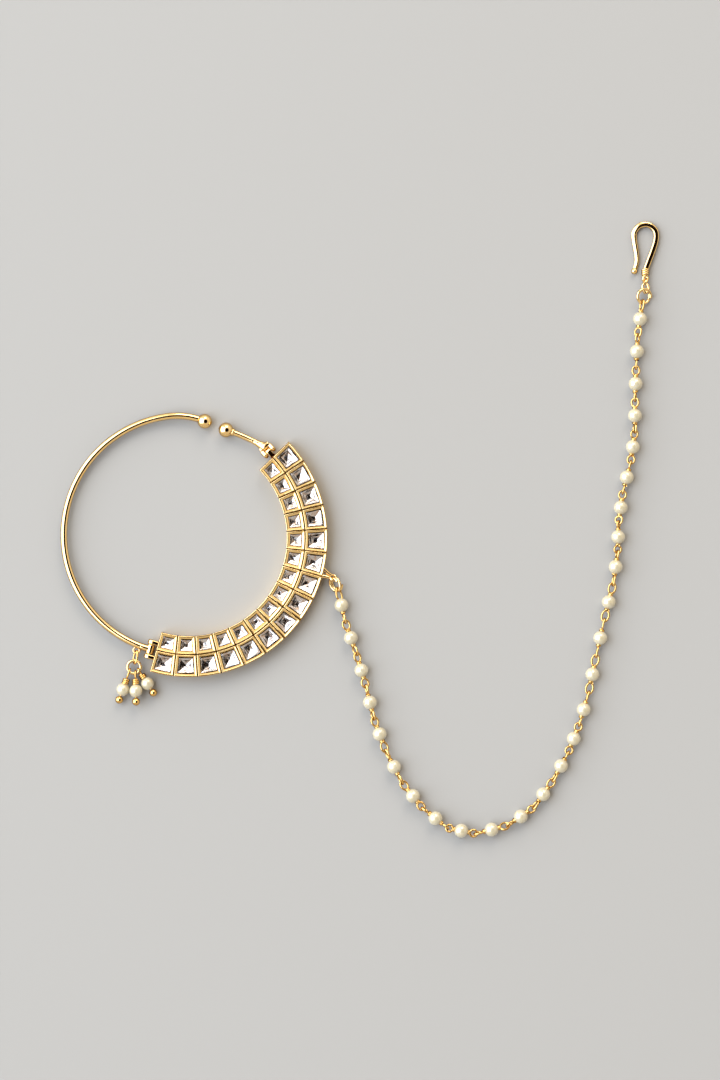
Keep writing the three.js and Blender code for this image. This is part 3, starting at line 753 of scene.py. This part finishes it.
stone = dict(
    inset=0.03, girdleDrop=0.54, girdleHeight=0.06, tableDrop=0.42, tableShare=0.9, cornerCut=0.12,
    depthShare=0.2, ringShares=(0, 0.34, 0.62), ringDepths=(0, 0.45, 0.80, 0.96),
    centreShares=(0.76, 0.86),
    chevronAt=0.5, chevronSink=0.6, tip=1.2, cutSpread=0.2, cutGrain=0.7, seed=7,
)


def stoneMesh(name, row, centreShare):
    inset = row["border"] - stone["inset"]
    near, far, nearTurn, farTurn = cellCorners(row, inset, inset)
    middle = (row["near"] + row["far"]) / 2
    plan = [
        Vector((radius * math.cos(turn) - middle, radius * math.sin(turn), 0))
        for radius, turn in ((near, -nearTurn), (far, -farTurn), (far, farTurn), (near, nearTurn))
    ]
    centre = sum(plan, Vector()) / 4

    def height(drop):
        return up * (ring["height"] - drop)

    upper = [p + height(stone["girdleDrop"]) for p in plan]
    lower = [p + height(stone["girdleDrop"] + stone["girdleHeight"]) for p in plan]
    table = []
    for i, p in enumerate(plan):
        for other in (plan[i - 1], plan[(i + 1) % 4]):
            edge = p.lerp(other, stone["cornerCut"])
            table.append(centre.lerp(edge, stone["tableShare"]) + height(stone["tableDrop"]))
    depth = stone["depthShare"] * (far - near) / 2
    below = stone["girdleDrop"] + stone["girdleHeight"]
    corners = upper + lower + table
    faces = [tuple(range(8, 16))]
    for i in range(4):
        j = (i + 1) % 4
        faces += [(i, 9 + 2 * i, 8 + 2 * i), (i, j, 8 + 2 * j, 9 + 2 * i), (4 + i, 4 + j, j, i)]
    outer = [4, 5, 6, 7]
    levels = list(zip((*stone["ringShares"], centreShare), stone["ringDepths"]))
    for (share, sink), (nextShare, nextSink) in zip(levels, levels[1:]):
        inner = list(range(len(corners), len(corners) + 4))
        corners += [p.lerp(centre, nextShare) + height(below + depth * nextSink) for p in plan]
        chevronShare = share + (nextShare - share) * stone["chevronAt"]
        chevronDepth = sink + (nextSink - sink) * stone["chevronSink"]
        for i in range(4):
            j = (i + 1) % 4
            point = len(corners)
            corners.append(((plan[i] + plan[j]) / 2).lerp(centre, chevronShare)
                           + height(below + depth * chevronDepth))
            faces += [(outer[j], outer[i], point), (outer[i], inner[i], point),
                      (inner[i], inner[j], point), (inner[j], outer[j], point)]
        outer = inner
    culet = len(corners)
    corners.append(centre + height(below + depth))
    faces += [(outer[(i + 1) % 4], outer[i], culet) for i in range(4)]
    return outward(newPiece(name, corners, faces))


def makeStones():
    for seed, (row, name) in enumerate(((rows[0], "inner_stone"), (rows[1], "outer_stone"))):
        cut = stoneMesh("stone", row, stone["centreShares"][seed])
        middle = (row["near"] + row["far"]) / 2
        spots = []
        for column in range(ring["columns"]):
            turn = ring["lowerEnd"] + columnTurn * (column + 0.5)
            spots.append((onRing(middle, turn), heading(turn), heading(turn + 90)))
        girdle = ring["height"] - stone["girdleDrop"] - stone["girdleHeight"]
        piece = seated(name + "s", cut, spots, crystal, stone["tip"], stone["seed"] + seed,
                       stone["cutSpread"], stone["cutGrain"], girdle - 0.15)
        dress(piece, crystal).data.materials.append(foil)
        for face in piece.data.polygons:
            face.material_index = 1 if face.normal.z < -0.1 else 0  # the pavilion faces look down
        nodes = [f"{name}_{column + 1:02d}" for column in range(ring["columns"])]
        place(piece, "ring", "crystal", *nodes)


makeStones()
print("stones made")

# Hoop with its ball, its hinge barrel and the eye for the drops

hoop = dict(
    radius=26.25, wire=0.725, lead=-3.4, ballTurn=79.3, dip=0.85, dipSpan=18.0, ball=1.6,
    neckReach=1.7, neckHalf=0.75, eyeTurn=-112.0, eyeRadius=0.675, eyeWire=0.225, pin=0.4,
)
hoopStart = hoopPin[0] + hoopPin[2] * hoop["neckReach"]
hoopStartTurn = ring["lowerEnd"] + hoop["lead"]
hoopCentre = hoopStart - heading(hoopStartTurn) * hoop["radius"]
hoopEndTurn = hoop["ballTurn"] - 360
hoopEye = hoopCentre + heading(hoop["eyeTurn"]) * (
    hoop["radius"] + hoop["wire"] + hoop["eyeRadius"] - hoop["eyeWire"])
dropWay = heading(-98.3)


def hoopPlace(turn):
    share = max(0, (hoopEndTurn + hoop["dipSpan"] - turn) / hoop["dipSpan"])
    return hoopCentre + heading(turn) * (hoop["radius"] - hoop["dip"] * share * share)


def headedPin(name, node, hinge, radius, reach, crown):
    profile = mirrored([(radius, reach - 0.05), (radius * 0.7, reach + crown - 0.03), (0, reach + crown)])
    pin = softened(turnedPiece(name, profile, hinge[0], hinge[1]), 60)
    place(dress(pin, gold), "ring", "gold", node)


def makeHoop():
    steps = 160
    turns = [hoopStartTurn + (hoopEndTurn - hoopStartTurn) * i / steps for i in range(steps + 1)]
    arc = dict(radius=hoop["wire"], points=[hoopPlace(turn) for turn in turns])
    eye = closedWire(hoop["eyeWire"], hoopEye, dropWay, 0, hoop["eyeRadius"])
    neckStart, neckEnd = hoopPin[0] + hoopPin[2] * 0.5, hoopStart - heading(hoopStartTurn + 90) * 0.6
    neck = dict(radius=[hoop["neckHalf"], hoop["neckHalf"] * 1.02, hoop["wire"]],
                points=[neckStart, hoopStart, neckEnd])
    wires = drawnWires("hoop_wires", [arc, eye, neck], fineSection, flankShade=0.75)
    end, before = arc["points"][-1], arc["points"][-2]
    ball = softened(turnedPiece("ball", ballRows(hoop["ball"]), end, end - before, 48))
    half = fork["barrelLength"] / 2
    radius = fork["barrelRadius"]
    barrel = turnedPiece("barrel", mirrored([
        (radius, half - 0.14), (radius - 0.03, half - 0.04), (radius - 0.12, half), (0, half),
    ]), hoopPin[0], hoopPin[1])
    piece = together("hoop_body", [wires, ball, softened(barrel, 50)])
    place(dress(piece, gold), "hoop", "gold", "hoop_wire")
    reach = armMiddle + fork["armWidth"] / 2
    headedPin("hoop_pin", "hoop_hinge_pin", hoopPin, hoop["pin"], reach, 0.08)


makeHoop()
print("hoop made")

# Stub: ball, neck knob and wire that flares into the soldered knuckle of its hinge

stub = dict(
    length=9.3, lean=22.0, bow=0.5, wire=0.625, ball=1.6, neckRadius=0.85,
    flareRadius=1.1, flareLength=3.0, lobeRadius=0.85, lobeWidth=0.9, lobeHalf=0.5,
    lobeSoft=0.4, bridgeStart=1.0, bridgeWidth=0.75, bridgeWire=0.62, steps=40, cutAt=16, voxel=0.07,
    pin=0.35, grain=0.5, grainDepth=0.05,
)


def fused(piece, voxel, smoothing=4):
    # Runs overlapping solids into one skin, as solder does
    remesh = piece.modifiers.new("remesh", "REMESH")
    remesh.mode = "VOXEL"
    remesh.voxel_size = voxel * mm
    smooth = piece.modifiers.new("smooth", "SMOOTH")
    smooth.iterations = smoothing
    return baked(piece)


def makeStub():
    lobeStart = stubLug["length"] / 2 + fork["clearance"]
    lobeMiddle = lobeStart + stub["lobeWidth"] / 2
    root = stub["bridgeStart"] + stub["bridgeWidth"] / 2
    start = stubPin[0] + stubPin[2] * root
    lean = heading(ring["upperEnd"] + 90 + stub["lean"])
    bowWay = heading(ring["upperEnd"] + stub["lean"])
    end = start + lean * stub["length"]
    points, radii = [], []
    for i in range(stub["steps"] + 1):
        share = i / stub["steps"]
        bow = stub["bow"] * 2 * share * (1 - share)
        points.append(start + lean * stub["length"] * share + bowWay * bow)
        flare = max(0, 1 - stub["length"] * share / stub["flareLength"])
        radii.append(stub["wire"] + (stub["flareRadius"] - stub["wire"]) * flare ** 2)
    cutAt = stub["cutAt"]
    knuckle = [hingePlate("lobe", stubPin, side * lobeMiddle, stub["lobeWidth"], root, stub["lobeHalf"],
                          stub["lobeRadius"], stub["lobeSoft"]) for side in (-1, 1)]
    half = lobeMiddle + stub["lobeWidth"] / 2
    bridge = dict(radius=stub["bridgeWire"], points=[
        stubPin[0] + stubPin[2] * root + stubPin[1] * (half - 0.3) * side for side in (-1, 1)])
    knuckle.append(drawnWires("bridge", [
        bridge, dict(points=points[:cutAt + 1], radius=radii[:cutAt + 1]),
    ], roundSection))
    solder = fused(together("stub_knuckle", knuckle), stub["voxel"])
    for corner in solder.data.vertices:
        away = (corner.co / mm - stubPin[0]).dot(stubPin[2])
        amount = max(0, min(1, (away - 0.5) / 0.6)) * max(0, min(1, (5.2 - away) / 1.5))
        lump = noise.noise(corner.co / (stub["grain"] * mm))
        corner.co += corner.normal * lump * amount * stub["grainDepth"] * mm
    softened(solder, 60)
    wire = drawnWires("stub_wire", [
        dict(points=points[cutAt - 2:], radius=radii[cutAt - 2:]),
    ], fineSection)
    way = points[-1] - points[-2]
    ball = softened(turnedPiece("ball", ballRows(stub["ball"]), end, way, 48))
    neck = turnedPiece("neck", mirrored([
        (stub["neckRadius"], 0.1), (0.78, 0.27), (0.55, 0.35), (0, 0.35),
    ]), end - way.normalized() * stub["ball"], way)
    piece = together("stub_body", [solder, wire, ball, softened(neck, 50)])
    place(dress(piece, gold), "stub", "gold", "nose_stub")
    headedPin("stub_pin", "stub_hinge_pin", stubPin, stub["pin"], half, 0.07)


makeStub()
print("stub made")

# Drops: link, jump ring and three pearls on wrapped eyes with a gold bead below

drops = dict(
    linkSpan=1.63, linkWire=0.225, linkHalf=0.72, ringRadius=1.43, ringWire=0.325, clearance=0.1,
    linkRoll=55.0, pearl=1.45, bore=0.3, pinWire=0.2, eyeHalf=0.72, neck=1.0,
    wrapRadius=0.58, wrapWire=0.23, wrapTurns=2.6, wrapPhase=40.0, endBead=0.875, endGap=0.04,
    hangTurn=(-137, -76, -35), pearlTurn=(-109.6, -88.6, -57.9),
    reach=(4.22, 3.82, 3.32), rise=(0, 0.65, 0),
)


def pearlRows(radius, bore, bands=22):
    # Pearl with a rounded edge where the hole runs in
    mouth = math.degrees(math.asin(math.sqrt(1 - (bore / radius) ** 2)))
    profile = [(0, -radius * 0.8), (bore * 0.9, -radius * 0.86)]
    for i in range(bands + 1):
        turn = math.radians(-mouth + 2 * mouth * i / bands)
        profile.append((radius * math.cos(turn), radius * math.sin(turn)))
    return profile + [(bore * 0.9, radius * 0.86), (0, radius * 0.8)]


def makeDrops():
    eyeSpot = hoopEye + dropWay * hoop["eyeRadius"]
    ringTop = eyeSpot + dropWay * drops["linkSpan"]
    ringMiddle = ringTop + dropWay * drops["ringRadius"]
    over = hoop["eyeWire"] + drops["linkWire"] + drops["clearance"]
    under = drops["ringWire"] + drops["linkWire"] + drops["clearance"]
    half = (over + drops["linkSpan"] + under) / 2
    link = drawnWires("drop_link", [closedWire(
        drops["linkWire"], eyeSpot + dropWay * (half - over), dropWay, drops["linkRoll"],
        half, drops["linkHalf"])], fineSection)
    place(dress(link, wireGold), "hoop", "gold", "dangle_link")
    jump = drawnWires("drop_ring", [dict(radius=drops["ringWire"], points=ovalPath(
        ringMiddle, dropWay, 0, drops["ringRadius"], drops["ringRadius"], 60,
        sweep=357, start=62))], fineSection)
    place(dress(jump, gold), "hoop", "gold", "dangle_jump_ring")
    for i in range(3):
        hang = ringMiddle + heading(drops["hangTurn"][i]) * drops["ringRadius"]
        middle = hang + heading(drops["pearlTurn"][i]) * drops["reach"][i]
        middle.z = drops["pearl"] + drops["rise"][i]
        way = (middle - hang).normalized()
        inside = drops["ringWire"] + drops["pinWire"] + drops["clearance"]
        neckStart = (middle - hang).length - drops["pearl"] - drops["neck"]
        halfEye = (inside + neckStart) / 2
        eye = closedWire(drops["pinWire"], hang + way * (halfEye - inside), way, 90,
                         halfEye, drops["eyeHalf"], pear=-0.3)
        wraps = dict(radius=drops["wrapWire"], points=coilPath(
            hang + way * neckStart, way, drops["wrapRadius"], drops["wrapTurns"],
            drops["neck"] + 0.05, phase=drops["wrapPhase"] * i))
        beadPlace = drops["pearl"] + drops["endGap"] + drops["endBead"]
        stem = dict(radius=drops["pinWire"], points=[hang + way * neckStart, middle + way * beadPlace])
        wires = drawnWires("pin_wires", [eye, wraps, stem], roundSection)
        bead = softened(turnedPiece("bead", ballRows(drops["endBead"], beadPlace, 20), middle, way))
        pin = together(f"drop_pin_{i + 1}", [wires, bead])
        place(dress(pin, wireGold), "hoop", "gold", f"dangle_pin_{i + 1}")
        profile = pearlRows(drops["pearl"], drops["bore"])
        drop = softened(turnedPiece(f"drop_pearl_{i + 1}", profile, middle, way), 50)
        place(dress(drop, pearl), "hoop", "pearl", f"dangle_pearl_{i + 1}")


makeDrops()
print("drops made")

# Pearl chain: pearls on wire pins, each eye hooked into the next pearl's eye

jumpRing = dict(radius=1.53, wire=0.29, turns=1.9, spread=1.1, turn=-68.9, roll=45.0)
chain = dict(
    count=27, pearl=1.55, bore=0.3, height=1.55, seat=1.52, wire=0.24, eyeHalf=0.76, touch=0.3,
    wrapRadius=0.38, wrapWire=0.2, wrapTurns=1.7, wrapLength=0.42, rolls=(0, 0, 90, 60), rollSpread=25.0,
    seed=11,
)
chainRoute = [
    (0.3, -3.3), (5.2, -17.5), (9.0, -31.6), (16.3, -45.3), (27.0, -53.3),
    (40.4, -50.0), (49.1, -38.6), (54.1, -26.2), (57.6, -10.4), (61.2, 5.2),
    (62.0, 18.3), (65.0, 31.6), (65.4, 45.5), (66.1, 59.8),
]
hookRing = dict(radius=1.53, wire=0.33, turn=76.6, reach=3.59, roll=25.0, eyeRoll=-65.0)
chainRingWay = heading(jumpRing["turn"])
chainRingMiddle = lugEye + chainRingWay * jumpRing["radius"]
chainHead = chainRingMiddle + chainRingWay * jumpRing["radius"]
chainHead.z = chain["height"]
routePoints = [chainHead + Vector((x, y, 0)) for x, y in chainRoute]
hookRingWay = heading(hookRing["turn"])
chainTail = routePoints[-1] + hookRingWay * hookRing["reach"]


def makeChain():
    dice = random.Random(chain["seed"])
    last = chain["count"] - 1
    clear = jumpRing["wire"] + chain["wire"] + 0.15
    rolls = [0.0]
    for _ in range(last):
        rolls.append(dice.choice(chain["rolls"]) + dice.uniform(-1, 1) * chain["rollSpread"])
    spots, strands = [], []
    for i in range(chain["count"]):
        start = chainHead if i == 0 else smoothRoute(routePoints, (i - 0.5) / last)
        end = chainTail if i == last else smoothRoute(routePoints, (i + 0.5) / last)
        middle = smoothRoute(routePoints, i / last)
        way = (end - start).normalized()
        middle = start + way * (middle - start).dot(way)
        spots.append((middle, way, up))
        reaches = [
            ((start - middle).length + (clear if i == 0 else chain["touch"]), -1,
             lug["eyeRoll"] if i == 0 else rolls[i] + 90),
            ((end - middle).length + (clear if i == last else chain["touch"]), 1,
             hookRing["eyeRoll"] if i == last else rolls[i + 1]),
        ]
        for reach, hand, roll in reaches:
            outWay = way * hand
            plain = i == 0 and hand < 0
            begin = chain["seat"] + (-0.35 if plain else chain["wrapLength"])
            half = (reach - begin) / 2
            strands.append(closedWire(
                chain["wire"], middle + outWay * (begin + half), outWay, roll * hand,
                half, chain["eyeHalf"], steps=36, pear=-0.25 if plain else 0.0))
            if plain:
                continue
            strands.append(dict(radius=chain["wrapWire"], points=coilPath(
                middle + outWay * (chain["seat"] - 0.06), outWay,
                chain["wrapRadius"] * dice.uniform(0.95, 1.1),
                chain["wrapTurns"], chain["wrapLength"], phase=dice.uniform(0, 360))))
    wires = drawnWires("chain_wires", strands, roundSection)
    place(dress(wires, wireGold), "ring", "gold", "pearl_chain")
    profile = pearlRows(chain["pearl"], chain["bore"])
    bead = softened(turnedPiece("pearl", profile, Vector(), Vector((1, 0, 0))), 50)
    pearls = seated("chain_pearls", bead, spots, pearl, tip=4, seed=3)
    place(dress(pearls, pearl), "ring", "pearl", "pearl_chain")


makeChain()
print("chain made")


def makeJumpRings():
    double = drawnWires("chain_ring", [dict(radius=jumpRing["wire"], points=ovalPath(
        chainRingMiddle, chainRingWay, jumpRing["roll"], jumpRing["radius"], jumpRing["radius"] * 0.86, 90,
        sweep=360 * jumpRing["turns"], start=110, lift=jumpRing["spread"]))], fineSection)
    place(dress(double, gold), "ring", "gold", "chain_jump_ring")
    middle = chainTail + hookRingWay * hookRing["radius"]
    single = drawnWires("hook_ring", [dict(radius=hookRing["wire"], points=ovalPath(
        middle, hookRingWay, hookRing["roll"], hookRing["radius"], hookRing["radius"], 70,
        sweep=395, start=-125, lift=0.62))], fineSection)
    place(dress(single, gold), "ring", "gold", "hook_jump_ring")


makeJumpRings()
print("jump rings made")

# Hair hook: one flattened wire bent to a long eye, its tail wrapped and twisted into a small eye

hook = dict(
    wire=0.62, baseRise=4.1, baseHeight=0.9, bendHeight=7.8, bendRadius=2.5,
    bendTurns=(-15, 30, 75, 120, 165, 195), waistHeight=2.4, waist=1.8, tip=2.4, tipBall=0.675,
    eyeLength=3.3, eyeHalf=0.72, eyeWire=0.36, collarRadius=0.62, collarTurns=2.6,
    steps=140, changeSpan=45, thinFrom=95, thinBy=0.25, tiltFrom=35, tilt=12,
    crossAt=0.62, crossLift=0.3, crossSpread=0.16, eyeSteps=40,
)


def makeHook():
    hang = chainTail + hookRingWay * hookRing["radius"] * 2
    base = hang + Vector((0, hook["baseRise"], 0))
    base.z = hook["baseHeight"]

    def spot(x, y, height=0.55):
        return Vector((base.x + x, base.y + y, height))

    outline = [base.copy()]
    for turn in hook["bendTurns"]:
        bend = heading(turn) * hook["bendRadius"]
        outline.append(spot(bend.x, hook["bendHeight"] + bend.y))
    outline += [spot(-hook["waist"], hook["waistHeight"]), spot(-hook["tip"], 0)]
    path, radii, tilts = [], [], []
    for i in range(hook["steps"] + 1):
        path.append(smoothRoute(outline, i / hook["steps"]))
        thinned = max(0, (i - hook["thinFrom"]) / hook["changeSpan"])
        radii.append(hook["wire"] * (1 - hook["thinBy"] * thinned))
        tilts.append(hook["tilt"] * max(0, min(1, (i - hook["tiltFrom"]) / hook["changeSpan"])))
    bow = drawnWires("hook_bow", [dict(points=path, radius=radii, tilts=tilts)], hookSection, level=True)
    tip = path[-1].copy()
    tip.z = hook["tipBall"]
    ball = softened(turnedPiece("tip", ballRows(hook["tipBall"], 0, 18), tip, Vector((0, 1, 0))))
    way = (base - hang).normalized()
    side, facing = across(way, hookRing["eyeRoll"] + 90)
    inside = hookRing["wire"] + hook["eyeWire"] + 0.12
    length = hook["eyeLength"] + inside
    cross = hook["crossAt"]
    strands = []
    for hand in (-1, 1):
        points = []
        for i in range(hook["eyeSteps"] + 1):
            share = i / hook["eyeSteps"]
            if share < cross:
                swing = math.sin(math.pi * share / cross)
            else:
                swing = -cross * math.sin(math.pi * (share - cross) / (1 - cross))
            lift = hook["crossLift"] * math.exp(-((share - cross) / hook["crossSpread"]) ** 2)
            points.append(hang + way * (length * share - inside) + side * hand * hook["eyeHalf"] * swing
                          + facing * hand * lift)
        strands.append(dict(points=points, radius=hook["eyeWire"]))
    strands.append(dict(radius=0.26, points=coilPath(
        hang + way * (hook["eyeLength"] + 0.05), way, hook["collarRadius"], hook["collarTurns"], 1.15)))
    strands.append(dict(radius=0.5, points=[hang + way * (hook["eyeLength"] - 0.1), base + way * 0.3]))
    wraps = drawnWires("hook_wraps", strands, fineSection)
    piece = together("hook_body", [bow, ball, wraps])
    place(dress(piece, gold), "ring", "gold", "hair_hook")


makeHook()
print("hook made")

# Stage: the photograph's frame looked at straight from above

photo = dict(
    width=720, height=1080, pixel=0.22, ringX=189.05, ringY=538.1, lensDistance=700.0, sensor=36,
    floorReach=3000.0,
)
sky = dict(darkTurn=352, darkLift=73, brightTurn=105, least=0.66, most=1.3, stops=(
    (0.0, "#F6EAD8"), (0.3, "#FFF3E2"), (0.6, "#FFF3E2"), (0.84, "#FFF3E2"), (0.86, "#140A04"),
))
softboxes = [
    dict(name="key", turn=172, lift=40, distance=2.0, size=3.0, power=104, colour="#DEECFF"),
    dict(name="fill", turn=78, lift=36, distance=2.2, size=1.2, power=22, colour="#FFF6E8"),
]


def raised(turn, lift):
    return heading(turn) * math.cos(math.radians(lift)) + up * math.sin(math.radians(lift))


def makeStage():
    scene = bpy.context.scene
    reach = photo["floorReach"]
    floor = newPiece("floor", [
        (-reach, -reach, 0), (reach, -reach, 0), (reach, reach, 0), (-reach, reach, 0),
    ], [(0, 1, 2, 3)])
    paper, tree, shader = newMaterial("grey_paper")  # matt background card, plain pale grey
    setInputs(shader, {"Base Color": hexColour("#A4A29E"), "Roughness": 0.75, "Specular IOR Level": 0.2})
    floor.data.materials.append(paper)

    camera = bpy.data.objects.new("camera", bpy.data.cameras.new("camera"))
    scene.collection.objects.link(camera)
    sideways = (photo["width"] / 2 - photo["ringX"]) * photo["pixel"]
    upward = (photo["ringY"] - photo["height"] / 2) * photo["pixel"]
    camera.location = (ringCentre + Vector((sideways, upward, photo["lensDistance"]))) * mm
    focus = photo["lensDistance"] - ring["pinHeight"]
    camera.data.sensor_width = photo["sensor"]
    camera.data.lens = photo["sensor"] * focus / (photo["height"] * photo["pixel"])
    camera.data.clip_start = 0.01
    camera.data.clip_end = 20
    scene.camera = camera

    for box in softboxes:
        light = bpy.data.objects.new(box["name"], bpy.data.lights.new(box["name"], "AREA"))
        light.data.shape = "SQUARE"
        light.data.size = box["size"]
        light.data.energy = box["power"]
        light.data.color = hexColour(box["colour"])[:3]
        light.location = raised(box["turn"], box["lift"]) * box["distance"]
        light.rotation_euler = (-light.location).to_track_quat("-Z", "Y").to_euler()
        scene.collection.objects.link(light)

    world = bpy.data.worlds.new("studio")
    scene.world = world
    world.use_nodes = True
    tree = world.node_tree
    where = addNode(tree, "ShaderNodeTexCoord").outputs["Generated"]
    overhead = addNode(tree, "ShaderNodeVectorMath", {
        0: where, 1: tuple(raised(sky["darkTurn"], sky["darkLift"])),
    }, operation="DOT_PRODUCT")
    colour = addNode(tree, "ShaderNodeValToRGB", {"Fac": overhead})
    ramp = colour.color_ramp
    while len(ramp.elements) < len(sky["stops"]):
        ramp.elements.new(0.5)
    for element, (spot, tone) in zip(ramp.elements, sky["stops"]):
        element.position = spot
        element.color = hexColour(tone)
    side = addNode(tree, "ShaderNodeVectorMath", {
        0: where, 1: tuple(heading(sky["brightTurn"])),
    }, operation="DOT_PRODUCT")
    strength = addNode(tree, "ShaderNodeMapRange", {
        "Value": side, "From Min": -1.0, "From Max": 1.0, "To Min": sky["least"], "To Max": sky["most"],
    })
    setInputs(tree.nodes["Background"], {"Color": colour, "Strength": strength})
    scene.view_settings.view_transform = "Standard"


makeStage()
print("stage made")
